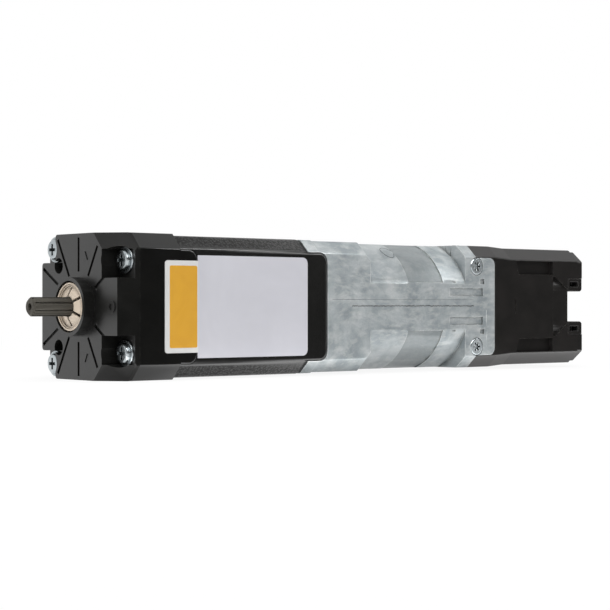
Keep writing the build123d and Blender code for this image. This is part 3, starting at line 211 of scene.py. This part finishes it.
def makeCastFlow():
    # Flow marks, chill patches and pores of a die casting
    tree, source, sink = newGroup(
        "castFlow",
        [("Scale", "NodeSocketFloat", 60.0)],
        [("Patches", "NodeSocketFloat"), ("Streaks", "NodeSocketFloat"), ("Specks", "NodeSocketFloat"),
         ("Height", "NodeSocketFloat")],
    )
    place = addNode(tree, "ShaderNodeTexCoord")
    warp = addNode(tree, "ShaderNodeTexNoise", None,
                   {"Vector": place.outputs["Object"], "Scale": source.outputs["Scale"], "Detail": 2.0})
    drift = addNode(tree, "ShaderNodeVectorMath", {"operation": "MULTIPLY_ADD"},
                    {0: warp.outputs["Color"], 1: (0.012, 0.012, 0.012), 2: place.outputs["Object"]})
    patches = addNode(tree, "ShaderNodeTexNoise", None,
                      {"Vector": drift.outputs["Vector"], "Scale": 95.0, "Detail": 6.0, "Roughness": 0.55})
    turned = addNode(tree, "ShaderNodeMapping", None,
                     {"Vector": drift.outputs["Vector"], "Rotation": (0.0, 0.4, 0.2),
                      "Scale": (170.0, 120.0, 420.0)})
    streaks = addNode(tree, "ShaderNodeTexNoise", None,
                      {"Vector": turned.outputs["Vector"], "Scale": 1.0, "Detail": 6.0, "Roughness": 0.65})
    skin = addNode(tree, "ShaderNodeTexNoise", None,
                   {"Vector": place.outputs["Object"], "Scale": 1500.0, "Detail": 4.0})
    pores = addNode(tree, "ShaderNodeTexVoronoi", None, {"Vector": place.outputs["Object"], "Scale": 420.0})
    pits = mapRange(tree, pores.outputs["Distance"], 0.02, 0.16, 0.0, 0.25)
    tree.links.new(patches.outputs["Fac"], sink.inputs["Patches"])
    tree.links.new(streaks.outputs["Fac"], sink.inputs["Streaks"])
    tree.links.new(mapRange(tree, skin.outputs["Fac"], 0.35, 0.7), sink.inputs["Specks"])
    skinHeight = mathNode(tree, "MULTIPLY", skin.outputs["Fac"], 0.5)
    flow = mathNode(tree, "MULTIPLY", streaks.outputs["Fac"], 0.7)
    height = mathNode(tree, "ADD", mathNode(tree, "ADD", skinHeight, flow), pits)
    tree.links.new(height, sink.inputs["Height"])
    return tree


def makeBandMask():
    # 1 between two places along the motor and away from its middle height
    tree, source, sink = newGroup(
        "bandMask",
        [("Start", "NodeSocketFloat", 0.145), ("End", "NodeSocketFloat", 0.165),
         ("Rail", "NodeSocketFloat", 0.01)],
        [("Mask", "NodeSocketFloat")],
    )
    place = addNode(tree, "ShaderNodeTexCoord")
    split = addNode(tree, "ShaderNodeSeparateXYZ", None, {"Vector": place.outputs["Object"]})
    after = mathNode(tree, "GREATER_THAN", split.outputs["X"], source.outputs["Start"])
    before = mathNode(tree, "LESS_THAN", split.outputs["X"], source.outputs["End"])
    rise = mathNode(tree, "ABSOLUTE", split.outputs["Z"])
    off = mathNode(tree, "GREATER_THAN", rise, source.outputs["Rail"])
    between = mathNode(tree, "MULTIPLY", after, before)
    tree.links.new(mathNode(tree, "MULTIPLY", between, off), sink.inputs["Mask"])
    return tree


edgeWearAndHighlight = makeEdgeWearAndHighlight()
cornerShadeMask = makeCornerShadeMask()
mottle = makeMottle()
mouldGrain = makeGrain()
castFlow = makeCastFlow()
finish = makeFinish()
bandMask = makeBandMask()


def useGroup(tree, group, inputs=None):
    return addNode(tree, "ShaderNodeGroup", {"node_tree": group}, inputs)


def startMaterial(name, fixed):
    material = bpy.data.materials.new(name)
    material.use_nodes = True
    tree = material.node_tree
    shader = tree.nodes["Principled BSDF"]
    for key, value in fixed.items():
        shader.inputs[key].default_value = value
    return material, tree, shader


def addBump(tree, shader, height, depth):
    bump = addNode(tree, "ShaderNodeBump", None, {"Height": height, "Distance": depth, "Strength": 1.0})
    tree.links.new(bump.outputs["Normal"], shader.inputs["Normal"])


plasticDefaults = {"rough": (0.40, 0.50), "scale": 70.0, "driftLow": 0.35, "driftHigh": 0.7,
                   "wearAndHighlight": 2.0, "wearAndHighlightReach": 0.0003, "wearAndHighlightBreakup": 450.0, "wearAndHighlightAmount": 0.4,
                   "fine": 1800.0, "coarse": 500.0, "bump": 0.00001, "ior": 1.46, "specular": 0.5,
                   "sideRange": (0.972, 0.998), "leatherFade": (0.71, 0.78),
                   "leatherSheen": (0.15, 0.75, 1.0, 0.35)}
metalDefaults = {"scale": 120.0, "stretch": (1, 1, 1), "wearAndHighlight": 4.0, "wearAndHighlightReach": 0.0002,
                 "wearAndHighlightBreakup": 700.0, "wearAndHighlightAmount": 0.5, "lines": (1, 1, 1), "lineScale": 1500.0,
                 "bump": 0.00002}


def baseWithWearHighlightAndShade(tree, look, base):
    # The base colour with its rubbed edges, which on some looks also carry painted highlight, and, where the
    # look has one, painted shade in its recesses
    wearAndHighlight = useGroup(tree, edgeWearAndHighlight, {"Radius": look["wearAndHighlightReach"], "Gain": look["wearAndHighlight"],
                                     "Breakup": look["wearAndHighlightBreakup"]})
    wornAndHighlight = mathNode(tree, "MULTIPLY", wearAndHighlight.outputs["Mask"], look["wearAndHighlightAmount"])
    base = mixColour(tree, wornAndHighlight, base, linearTint(look["wornAndHighlight"]))
    if "recess" in look:
        # painted shade darkens the recesses
        dark = useGroup(tree, cornerShadeMask, {"Reach": look["recessReach"]})
        base = mixColour(tree, dark.outputs["Mask"], base, linearTint(look["recess"]))
    return base


def plasticMaterial(name, changes):
    look = {**plasticDefaults, **changes}
    fixed = {"IOR": look["ior"], "Specular IOR Level": look["specular"]}
    material, tree, shader = startMaterial(name, fixed)
    shade = useGroup(tree, mottle, {"First": linearTint(look["colour"]), "Second": linearTint(look["drift"]),
                                    "Scale": look["scale"], "Low": look["driftLow"],
                                    "High": look["driftHigh"]})
    base = baseWithWearHighlightAndShade(tree, look, shade.outputs["Colour"])
    tree.links.new(base, shader.inputs["Base Color"])
    rough = mapRange(tree, shade.outputs["Mask"], 0.0, 1.0, *look["rough"])
    tree.links.new(rough, shader.inputs["Roughness"])
    grain = useGroup(tree, mouldGrain, {"Fine": look["fine"], "Coarse": look["coarse"]})
    if "skin" in look:
        # the label sides have a deep, dull finish, and the rest a satin skin
        facing = useGroup(tree, finish)
        skin = mapRange(tree, facing.outputs["Side"], *look["sideRange"], 1.0, 0.0)
        if "leather" in look:
            leather = mapRange(tree, facing.outputs["Side"], *look["leatherFade"], look["leather"], 0.0)
            tree.links.new(leather, grain.inputs["Leather"])
            sheen = mapRange(tree, grain.outputs["Height"], *look["leatherSheen"])
            skin = mathNode(tree, "MULTIPLY", skin, sheen)
        tree.links.new(skin, shader.inputs["Coat Weight"])
        shader.inputs["Coat IOR"].default_value = look["skin"]
        shader.inputs["Coat Roughness"].default_value = sum(look["rough"]) / 2
    addBump(tree, shader, grain.outputs["Height"], look["bump"])
    return material


def metalMaterial(name, changes):
    look = {**metalDefaults, **changes}
    material, tree, shader = startMaterial(name, {"Metallic": 1.0})
    shade = useGroup(tree, mottle, {"First": linearTint(look["colour"]), "Second": linearTint(look["drift"]),
                                    "Scale": look["scale"], "Stretch": look["stretch"]})
    base = baseWithWearHighlightAndShade(tree, look, shade.outputs["Colour"])
    tree.links.new(base, shader.inputs["Base Color"])
    rough = mapRange(tree, shade.outputs["Mask"], 0.0, 1.0, *look["rough"])
    tree.links.new(rough, shader.inputs["Roughness"])
    place = addNode(tree, "ShaderNodeTexCoord")
    pull = addNode(tree, "ShaderNodeVectorMath", {"operation": "MULTIPLY"},
                   {0: place.outputs["Object"], 1: look["lines"]})
    lines = addNode(tree, "ShaderNodeTexNoise", None,
                    {"Vector": pull.outputs["Vector"], "Scale": look["lineScale"], "Detail": 3.0})
    addBump(tree, shader, lines.outputs["Fac"], look["bump"])
    return material


def castMaterial(name, look):
    material, tree, shader = startMaterial(name, {"Metallic": look["metallic"]})
    flow = useGroup(tree, castFlow, {"Scale": look["scale"]})
    patch = mapRange(tree, flow.outputs["Patches"], *look["patchRange"])
    layers = {
        "pale": mapRange(tree, flow.outputs["Streaks"], *look["streakRange"]),
        "speck": flow.outputs["Specks"],
        "bandColour": useGroup(tree, bandMask, look["band"]).outputs["Mask"],
        # painted shade in the nooks and recesses of the casting
        "recess": useGroup(tree, cornerShadeMask, {"Reach": look["recessReach"]}).outputs["Mask"],
        # rubbed edges and painted highlight along the casting's edges
        "wornAndHighlight": useGroup(tree, edgeWearAndHighlight, look["edges"]).outputs["Mask"],
    }
    base = mixColour(tree, patch, linearTint(look["dark"]), linearTint(look["colour"]))
    for tint, mask in layers.items():
        share = mathNode(tree, "MULTIPLY", mask, look["shares"][tint])
        base = mixColour(tree, share, base, linearTint(look[tint]))
    tree.links.new(base, shader.inputs["Base Color"])
    rough = mapRange(tree, flow.outputs["Streaks"], *look["roughRange"], *look["rough"])
    tree.links.new(rough, shader.inputs["Roughness"])
    addBump(tree, shader, flow.outputs["Height"], look["bump"])
    return material


blackPlastic = {"colour": (12, 12, 11), "drift": (17, 17, 16), "wornAndHighlight": (88, 88, 85), "rough": (0.28, 0.36),
                "wearAndHighlightAmount": 0.25, "specular": 0.06, "skin": 1.43}
plasticLooks = {
    "cap_plastic": {"colour": (20, 20, 19), "drift": (27, 27, 26), "wornAndHighlight": (110, 110, 106),
                    "rough": (0.28, 0.36), "bump": 0.000015, "fine": 2600.0, "wearAndHighlightAmount": 0.3,
                    "specular": 0.03, "skin": 1.55, "sideRange": (0.25, 0.9)},
    "housing_plastic": blackPlastic,
    "grained_plastic": {**blackPlastic, "colour": (20, 20, 19), "drift": (26, 26, 25), "skin": 1.67,
                        "rough": (0.30, 0.38), "leather": 1.0, "coarse": 1100.0, "bump": 0.0004,
                        "fine": 2600.0},
    # the tail's light edge colour, made stronger here, is partly rubbed edges and partly painted highlight
    # along the edges
    "tail_plastic": {"colour": (27, 26, 25), "drift": (35, 33, 32), "wornAndHighlight": (100, 97, 92),
                     "bump": 0.000014, "wearAndHighlightAmount": 0.55, "wearAndHighlight": 4.0, "specular": 0.06, "skin": 1.52,
                     "sideRange": (0.93, 0.995)},
    "badge_film": {"colour": (214, 160, 42), "drift": (205, 150, 34), "wornAndHighlight": (230, 195, 120),
                   "rough": (0.30, 0.38), "bump": 0.000004},
    "badge_edge": {"colour": (214, 214, 212), "drift": (204, 204, 203), "wornAndHighlight": (235, 235, 235),
                   "rough": (0.34, 0.42), "bump": 0.000004},
    "label_film": {"colour": (199, 199, 206), "drift": (192, 192, 199), "wornAndHighlight": (225, 225, 230),
                   "rough": (0.45, 0.55), "bump": 0.000005, "scale": 40.0},
    "ring_plastic": {"colour": (216, 200, 180), "drift": (226, 212, 194), "wornAndHighlight": (240, 232, 220),
                     # the ring's dark colour in its slots is painted shade
                     "rough": (0.40, 0.52), "recess": (30, 24, 18), "recessReach": 0.0016},
    "gear_plastic": {"colour": (226, 223, 212), "drift": (214, 210, 198), "wornAndHighlight": (240, 238, 230)},
    "cam_plastic": {"colour": (205, 92, 42), "drift": (190, 82, 36), "wornAndHighlight": (230, 150, 110)},
    "frame_plastic": {"colour": (206, 206, 202), "drift": (192, 192, 188), "wornAndHighlight": (230, 230, 228),
                      "rough": (0.45, 0.55)},
    "adjuster_plastic": {"colour": (46, 46, 45), "drift": (58, 58, 56), "wornAndHighlight": (120, 120, 118)},
    "arm_plastic": {"colour": (78, 108, 158), "drift": (70, 98, 146), "wornAndHighlight": (140, 160, 190)},
    "switch_plastic": {"colour": (32, 32, 34), "drift": (42, 42, 44), "wornAndHighlight": (90, 90, 92),
                       "rough": (0.42, 0.52)},
    "friction_lining": {"colour": (52, 42, 34), "drift": (70, 58, 48), "wornAndHighlight": (110, 95, 80),
                        "rough": (0.75, 0.9), "bump": 0.00004},
    "planet_plastic": {"colour": (230, 225, 205), "drift": (218, 212, 190), "wornAndHighlight": (240, 238, 228)},
    "capacitor_case": {"colour": (220, 220, 215), "drift": (208, 208, 204), "wornAndHighlight": (235, 235, 232),
                       "rough": (0.42, 0.52)},
    "board_laminate": {"colour": (26, 92, 52), "drift": (32, 104, 60), "wornAndHighlight": (160, 170, 120),
                       "rough": (0.35, 0.45)},
    "board_part_plastic": {"colour": (42, 62, 108), "drift": (50, 72, 120), "wornAndHighlight": (110, 130, 170),
                           "rough": (0.38, 0.48)},
    "socket_plastic": {"colour": (222, 222, 216), "drift": (210, 210, 204), "wornAndHighlight": (238, 238, 234),
                       "rough": (0.42, 0.52)},
    "winding_copper": {"colour": (168, 84, 42), "drift": (140, 66, 32), "wornAndHighlight": (210, 140, 90),
                       "rough": (0.35, 0.5), "bump": 0.00006, "fine": 3000.0},
}
metalLooks = {
    "zinc_screws": {"colour": (196, 202, 204), "drift": (176, 184, 188), "wornAndHighlight": (238, 240, 238),
                    # the dark colour in the screws' recesses is painted shade
                    "rough": (0.20, 0.30), "scale": 300.0, "recess": (26, 32, 30), "recessReach": 0.0012,
                    "bump": 0.00001},
    "shaft_steel": {"colour": (104, 101, 94), "drift": (82, 79, 73), "wornAndHighlight": (150, 147, 140),
                    "rough": (0.50, 0.62), "stretch": (0.15, 2.0, 2.0), "lines": (0.04, 1.0, 1.0),
                    "scale": 200.0, "bump": 0.00006},
    "inner_steel": {"colour": (186, 186, 188), "drift": (168, 168, 170), "wornAndHighlight": (220, 220, 220),
                    "rough": (0.22, 0.36)},
    "spring_steel": {"colour": (196, 193, 184), "drift": (176, 172, 164), "wornAndHighlight": (224, 222, 214),
                     "rough": (0.24, 0.36)},
    "lamination_steel": {"colour": (112, 112, 116), "drift": (92, 92, 96), "wornAndHighlight": (150, 150, 152),
                         "rough": (0.40, 0.55), "lines": (14.0, 0.1, 0.1), "lineScale": 400.0,
                         "bump": 0.0001},
    "shield_aluminium": {"colour": (196, 198, 200), "drift": (178, 180, 183), "wornAndHighlight": (220, 220, 222),
                         "rough": (0.36, 0.5)},
    "bush_bronze": {"colour": (196, 150, 84), "drift": (176, 132, 70), "wornAndHighlight": (224, 186, 120),
                    "rough": (0.34, 0.46)},
    "brake_steel": {"colour": (150, 150, 152), "drift": (132, 132, 134), "wornAndHighlight": (190, 190, 190),
                    "rough": (0.3, 0.44)},
    "gear_steel": {"colour": (158, 158, 160), "drift": (138, 138, 140), "wornAndHighlight": (200, 200, 200),
                   "rough": (0.3, 0.44)},
    "contact_brass": {"colour": (214, 184, 112), "drift": (196, 166, 94), "wornAndHighlight": (236, 214, 150),
                      "rough": (0.22, 0.34)},
}
castLook = {"colour": (173, 179, 181), "dark": (140, 148, 151), "pale": (205, 207, 205),
            # the light edge colour is partly rubbed edges and partly painted highlight
            "wornAndHighlight": (232, 233, 232), "speck": (120, 126, 128), "bandColour": (104, 110, 111),
            # the casting's dark colour in its recesses is painted shade
            "recess": (84, 88, 86), "recessReach": 0.0025, "metallic": 0.35, "scale": 34.0,
            "shares": {"pale": 0.55, "speck": 0.18, "bandColour": 0.55, "recess": 0.8, "wornAndHighlight": 0.8},
            "band": {"Start": 0.1449, "End": 0.165, "Rail": 0.0101},
            "edges": {"Radius": 0.0006, "Gain": 8.0, "Breakup": 260.0},
            "patchRange": (0.38, 0.64), "streakRange": (0.46, 0.70), "roughRange": (0.3, 0.7),
            "rough": (0.36, 0.50), "bump": 0.00005}
markLook = {**castLook, "colour": (66, 70, 70), "dark": (40, 43, 43), "wornAndHighlight": (136, 140, 140),
            "pale": (150, 154, 154), "shares": {**castLook["shares"], "pale": 0.2}, "rough": (0.5, 0.7)}

materials = {name: plasticMaterial(name, look) for name, look in plasticLooks.items()}
materials.update({name: metalMaterial(name, look) for name, look in metalLooks.items()})
materials["die_cast_zinc"] = castMaterial("die_cast_zinc", castLook)
materials["cast_mark"] = castMaterial("cast_mark", markLook)
nodeLooks = {"motor_housing": "grained_plastic"}
say("materials made")


softening = {"weld": 0.002, "flat": 0.6, "edge": 28.0, "segments": 2}  # weld in mm, angles in degrees
softEdges = {"limit_end_cap": 0.35, "limit_housing": 0.3, "motor_housing": 0.3, "gear_housing": 0.35,
             "tail_housing": 0.4, "mounting_inserts": 0.35, "cap_screws": 0.12, "ear_screws": 0.1,
             "drive_shaft": 0.06, "drive_ring": 0.08, "adjuster_up": 0.1, "adjuster_down": 0.1}


def dressNode(name, material, width):
    node = frame["nodes"][name]
    for slot in node.material_slots:
        slot.material = material
    if not node.material_slots:
        node.data.materials.append(material)
    if width:
        weld = node.modifiers.new("weld", "WELD")
        weld.merge_threshold = softening["weld"] * mm
        flat = node.modifiers.new("flatten", "DECIMATE")
        flat.decimate_type = "DISSOLVE"
        flat.angle_limit = math.radians(softening["flat"])
        soft = node.modifiers.new("soften", "BEVEL")
        soft.width = width
        soft.segments = softening["segments"]
        soft.limit_method = "ANGLE"
        soft.angle_limit = math.radians(softening["edge"])
        soft.harden_normals = True
        soft.use_clamp_overlap = True


for entry in frame["record"]["subparts"]:
    name = entry["node"]
    look = nodeLooks.get(name, entry["material_slot"])
    dressNode(name, materials[look], softEdges.get(name, 0.0) * mm)
say("CAD nodes dressed")


def addPiece(name, mesh, look, body, replaced=()):
    piece = bpy.data.objects.new(name, mesh)
    bpy.context.scene.collection.objects.link(piece)
    mesh.materials.append(materials[look])
    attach(piece, body)
    if replaced:
        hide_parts(*replaced)


def meshFrom(name, points, faces, smooth=True):
    mesh = bpy.data.meshes.new(name)
    mesh.from_pydata([tuple(point) for point in points], [], faces)
    mesh.validate()
    tool = bmesh.new()
    tool.from_mesh(mesh)
    bmesh.ops.recalc_face_normals(tool, faces=tool.faces)
    tool.to_mesh(mesh)
    tool.free()
    for polygon in mesh.polygons:
        polygon.use_smooth = smooth
    return mesh


def joinParts(parts):
    points, faces = [], []
    for somePoints, someFaces in parts:
        shift = len(points)
        points += somePoints
        faces += [[index + shift for index in face] for face in someFaces]
    return points, faces


def roundedPlate(x0, x1, z0, z1, radii, yBack, yFront, steps=6):
    # A thin plate that faces -Y. The radii are those at (x0, z0), (x1, z0), (x1, z1) and (x0, z1)
    outline = []
    spots = ((x0, z0, 1, 1, 180), (x1, z0, -1, 1, 270), (x1, z1, -1, -1, 0), (x0, z1, 1, -1, 90))
    for (x, z, dx, dz, start), radius in zip(spots, radii):
        for step in range(steps + 1):
            angle = math.radians(start + 90 * step / steps)
            outline.append((x + radius * (dx + math.cos(angle)), z + radius * (dz + math.sin(angle))))
    count = len(outline)
    points = [(x * mm, y * mm, z * mm) for y in (yBack, yFront) for x, z in outline]
    faces = [list(range(count)), list(range(count, 2 * count))]
    faces += [[i, (i + 1) % count, count + (i + 1) % count, count + i] for i in range(count)]
    return points, faces


badge = {"x0": 21.0, "x1": 36.1, "half": 17.3, "corner": 1.2, "nearCorner": 0.3, "back": -26.2,
         "front": -26.42, "fieldX0": 23.1, "fieldX1": 35.75, "fieldHalf": 15.4, "fieldCorner": 0.7,
         "fieldBack": -26.3, "fieldFront": -26.45}


def makeBadge():
    wide, tight = badge["corner"], badge["nearCorner"]
    plate = roundedPlate(badge["x0"], badge["x1"], -badge["half"], badge["half"], (wide, tight, tight, wide),
                         badge["back"], badge["front"])
    edgeMesh = meshFrom("badgeEdge", *plate, smooth=False)
    addPiece("badgeEdge", edgeMesh, "badge_edge", "housing", ["badge_plate"])
    field = roundedPlate(badge["fieldX0"], badge["fieldX1"], -badge["fieldHalf"], badge["fieldHalf"],
                         (badge["fieldCorner"],) * 4, badge["fieldBack"], badge["fieldFront"])
    fieldMesh = meshFrom("badgeField", *field, smooth=False)
    addPiece("badgeField", fieldMesh, "badge_film", "housing")


makeBadge()
say("badge made")


def tubePart(path, radius, sides=8, closed=False):
    # A thin bead along a path of points
    count = len(path)
    points, faces = [], []
    for index, here in enumerate(path):
        before = path[index - 1] if closed or index else here
        after = path[(index + 1) % count] if closed or index < count - 1 else here
        along = (Vector(after) - Vector(before)).normalized()
        side = along.orthogonal() if abs(along.z) > 0.9 else along.cross(Vector((0, 0, 1)))
        side.normalize()
        up = side.cross(along)
        for k in range(sides):
            angle = 2 * math.pi * k / sides
            points.append((Vector(here) + (side * math.cos(angle) + up * math.sin(angle)) * radius) * mm)
    last = count if closed else count - 1
    for index in range(last):
        a, b = index * sides, ((index + 1) % count) * sides
        faces += [[a + k, a + (k + 1) % sides, b + (k + 1) % sides, b + k] for k in range(sides)]
    if not closed:
        faces.append(list(range(sides)))
        faces.append([(count - 1) * sides + k for k in range(sides)])
    return points, faces


def surfaceOf(name):
    node = frame["nodes"][name]
    places = [node.matrix_world @ vertex.co for vertex in node.data.vertices]
    return BVHTree.FromPolygons(places, [tuple(polygon.vertices) for polygon in node.data.polygons])


ejectors = {"x": (142.0, 180.6), "y": 15.6, "radius": 3.0, "bead": 0.13, "above": 40.0, "steps": 40}


def makeEjectorMarks():
    # The round outlines that the ejector pins left on the drum, laid on the casting itself
    casting = surfaceOf("gear_housing")
    parts = []
    for x in ejectors["x"]:
        for side in (-1, 1):
            path = []
            for step in range(ejectors["steps"]):
                angle = 2 * math.pi * step / ejectors["steps"]
                px = x + ejectors["radius"] * math.cos(angle)
                py = side * ejectors["y"] + ejectors["radius"] * math.sin(angle)
                top = casting.ray_cast(Vector((px, py, ejectors["above"])) * mm, Vector((0, 0, -1)))[0]
                path.append((px, py, top.z / mm - ejectors["bead"] / 3))
            parts.append(tubePart(path, ejectors["bead"], closed=True))
    mesh = meshFrom("ejectorMarks", *joinParts(parts))
    addPiece("ejectorMarks", mesh, "cast_mark", "housing")


sideY = 26.0  # the casting's faces on the label sides
flash = {"start": 113.6, "end": 183.2, "z": 0.3, "radius": 0.25, "sides": 6, "sink": 0.09,
         "depth": (-0.07, 0.04), "wander": (-0.14, 0.14), "step": (0.25, 0.6), "seed": 7}


def makePartingFlash():
    # The rough flash where the two halves of the die met, on both sides
    chance = random.Random(flash["seed"])
    parts = []
    for side in (-1, 1):
        path = []
        x = flash["start"]
        while x < flash["end"]:
            path.append((x, side * (sideY - flash["sink"] + chance.uniform(*flash["depth"])),
                         flash["z"] + chance.uniform(*flash["wander"])))
            x += chance.uniform(*flash["step"])
        parts.append(tubePart(path, flash["radius"], sides=flash["sides"]))
    mesh = meshFrom("partingFlash", *joinParts(parts), smooth=False)
    addPiece("partingFlash", mesh, "cast_mark", "housing")


witness = {"start": 103.0, "end": 183.0, "z": 2.9, "radius": 0.05}
ribs = {"x": 190.9, "z": (-17.4, -1.6), "radius": 0.14}


def makeWitnessLines():
    # The thin line above the flash, and the upright rib beside the ears, on both sides
    lines, uprights = [], []
    for side in (-1, 1):
        y = side * sideY
        lines.append(tubePart([(x, y, witness["z"]) for x in (witness["start"], witness["end"])],
                              witness["radius"]))
        uprights.append(tubePart([(ribs["x"], y, z) for z in ribs["z"]], ribs["radius"]))
    lineMesh = meshFrom("witnessLines", *joinParts(lines))
    addPiece("witnessLines", lineMesh, "cast_mark", "housing")
    ribMesh = meshFrom("castRibs", *joinParts(uprights))
    addPiece("castRibs", ribMesh, "die_cast_zinc", "housing")


def domePart(place, outward, across, radius, height, rings=6, segments=24):
    # A low dome with a tiny flat on top
    outward, across = Vector(outward), Vector(across)
    upward = outward.cross(across)
    points, faces = [], []
    for ring in range(rings + 1):
        share = ring / rings
        r = radius * math.sin(share * math.pi / 2) if ring else radius * 0.02
        h = height * math.cos(share * math.pi / 2)
        for index in range(segments):
            angle = 2 * math.pi * index / segments
            around = across * r * math.cos(angle) + upward * r * math.sin(angle)
            points.append((Vector(place) + outward * h + around) * mm)
    for ring in range(rings):
        a, b = ring * segments, (ring + 1) * segments
        faces += [[a + k, a + (k + 1) % segments, b + (k + 1) % segments, b + k]
                  for k in range(segments)]
    faces += [list(range(segments)), [rings * segments + k for k in range(segments)]]
    return points, faces


nub = {"place": (118.5, -5.0, 26.35), "radius": 1.3, "height": 0.4}


def makeNub():
    part = domePart(nub["place"], (0, 0, 1), (1, 0, 0), nub["radius"], nub["height"])
    addPiece("castNub", meshFrom("castNub", *part), "die_cast_zinc", "housing")


facePips = {"x": 0.02, "y": -12.5, "z": 6.2, "radius": 0.5, "height": 0.3}


def makeFacePips():
    parts = [domePart((facePips["x"], facePips["y"], side * facePips["z"]), (-1, 0, 0), (0, 1, 0),
                      facePips["radius"], facePips["height"]) for side in (1, -1)]
    addPiece("facePips", meshFrom("facePips", *joinParts(parts)), "cap_plastic", "housing")


makeEjectorMarks()
makePartingFlash()
makeWitnessLines()
makeNub()
makeFacePips()
say("casting and moulding marks made")


studio = {"floorHalf": 6.0, "floorTone": 0.85, "middle": (0.12, 0.0, 0.0),
          "shadowShare": 0.9, "shadowNear": 0.2, "shadowFar": 0.6,
          "behind": (-0.35, 0.25, 0.1, 0.85), "above": (0.35, 0.9, 0.0, 0.85),
          "cameraPlace": (-0.34422, -0.54954, 0.000649), "cameraTurn": -39.587,
          "lens": 101.17, "sensor": 36.0, "clip": (0.01, 20.0)}
lamps = {
    "keyLamp": {"place": (-0.45, -0.75, 0.75), "target": studio["middle"], "size": (0.5, 0.5), "power": 4.8},
    "topLamp": {"place": (0.2, -0.1, 1.0), "target": studio["middle"], "size": (0.7, 0.7), "power": 6.5,
                "mirrored": False},
    # small lamps above and a strip low on the table draw the light lines along the rounded edges
    "edgeLamp": {"place": (0.168, -0.147, 0.115), "target": (0.045, -0.025, 0.02), "size": (0.12, 0.05),
                 "power": 0.2, "diffuse": False},
    "tailLamp": {"place": (0.385, -0.147, 0.105), "target": (0.238, -0.025, 0.01), "size": (0.06, 0.05),
                 "power": 0.07, "diffuse": False},
    "tableStrip": {"place": (0.125, -0.030, -0.0272), "target": (0.125, -0.030, 0.1), "size": (0.31, 0.007),
                   "power": 0.012},
}


def makeFloor():
    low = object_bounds()[0].z
    half = studio["floorHalf"]
    mesh = bpy.data.meshes.new("studioFloor")
    outline = ((-half, -half), (half, -half), (half, half), (-half, half))
    mesh.from_pydata([(x, y, low) for x, y in outline], [], [[0, 1, 2, 3]])
    floor = bpy.data.objects.new("studioFloor", mesh)
    bpy.context.scene.collection.objects.link(floor)
    material = bpy.data.materials.new("studioFloor")
    material.use_nodes = True
    tree = material.node_tree
    tree.nodes.clear()
    cloth = addNode(tree, "ShaderNodeBsdfDiffuse", None, {"Color": (studio["floorTone"],) * 3 + (1.0,)})
    glow = addNode(tree, "ShaderNodeEmission", None, {"Color": (1, 1, 1, 1), "Strength": 1.0})
    rays = addNode(tree, "ShaderNodeLightPath")
    mirrored = mathNode(tree, "MAXIMUM", rays.outputs["Is Glossy Ray"], rays.outputs["Is Transmission Ray"])
    seen = mathNode(tree, "MAXIMUM", rays.outputs["Is Camera Ray"], mirrored)
    # the pale floor runs into the white background a little way off, where no shadow falls
    place = addNode(tree, "ShaderNodeTexCoord")
    reach = addNode(tree, "ShaderNodeVectorMath", {"operation": "DISTANCE"},
                    {0: place.outputs["Object"], 1: (*studio["middle"][:2], low)})
    clear = mapRange(tree, reach.outputs["Value"], studio["shadowNear"], studio["shadowFar"],
                     studio["shadowShare"], 1.0)
    share = mathNode(tree, "MULTIPLY", seen, clear)
    both = addNode(tree, "ShaderNodeMixShader", None, {0: share, 1: cloth.outputs[0], 2: glow.outputs[0]})
    sink = addNode(tree, "ShaderNodeOutputMaterial")
    tree.links.new(both.outputs[0], sink.inputs["Surface"])
    mesh.materials.append(material)


def makeWorld():
    # White behind the object, and a dimmer room on the camera's side, as round a product table
    world = bpy.data.worlds.new("studioWorld")
    bpy.context.scene.world = world
    world.use_nodes = True
    tree = world.node_tree
    tree.nodes.clear()
    place = addNode(tree, "ShaderNodeTexCoord")
    split = addNode(tree, "ShaderNodeSeparateXYZ", None, {"Vector": place.outputs["Generated"]})
    behind = mapRange(tree, split.outputs["Y"], *studio["behind"])
    above = mapRange(tree, split.outputs["Z"], *studio["above"])
    room = mathNode(tree, "MAXIMUM", behind, above)
    rays = addNode(tree, "ShaderNodeLightPath")
    level = addNode(tree, "ShaderNodeMix", {"data_type": "FLOAT"},
                    {0: rays.outputs["Is Camera Ray"], 2: room, 3: 1.0})
    sky = addNode(tree, "ShaderNodeBackground", None,
                  {"Color": (1, 1, 1, 1), "Strength": level.outputs[0]})
    sink = addNode(tree, "ShaderNodeOutputWorld")
    tree.links.new(sky.outputs[0], sink.inputs["Surface"])


def addLamp(name, setting):
    data = bpy.data.lights.new(name, "AREA")
    data.shape = "RECTANGLE"
    data.size, data.size_y = setting["size"]
    data.energy = setting["power"]
    lamp = bpy.data.objects.new(name, data)
    bpy.context.scene.collection.objects.link(lamp)
    lamp.location = setting["place"]
    lamp.visible_camera = False
    lamp.visible_glossy = setting.get("mirrored", True)
    lamp.visible_diffuse = setting.get("diffuse", True)
    lamp.rotation_mode = "QUATERNION"
    aim = Vector(setting["target"]) - Vector(setting["place"])
    lamp.rotation_quaternion = aim.to_track_quat("-Z", "Y")


def makeCamera():
    data = bpy.data.cameras.new("photoCamera")
    data.lens = studio["lens"]
    data.sensor_width = studio["sensor"]
    data.clip_start, data.clip_end = studio["clip"]
    camera = bpy.data.objects.new("photoCamera", data)
    bpy.context.scene.collection.objects.link(camera)
    camera.location = studio["cameraPlace"]
    camera.rotation_euler = (math.pi / 2, 0.0, math.radians(studio["cameraTurn"]))
    bpy.context.scene.camera = camera


makeFloor()
makeWorld()
for name, setting in lamps.items():
    addLamp(name, setting)
makeCamera()
bpy.context.scene.view_settings.view_transform = "Standard"
say("studio made")
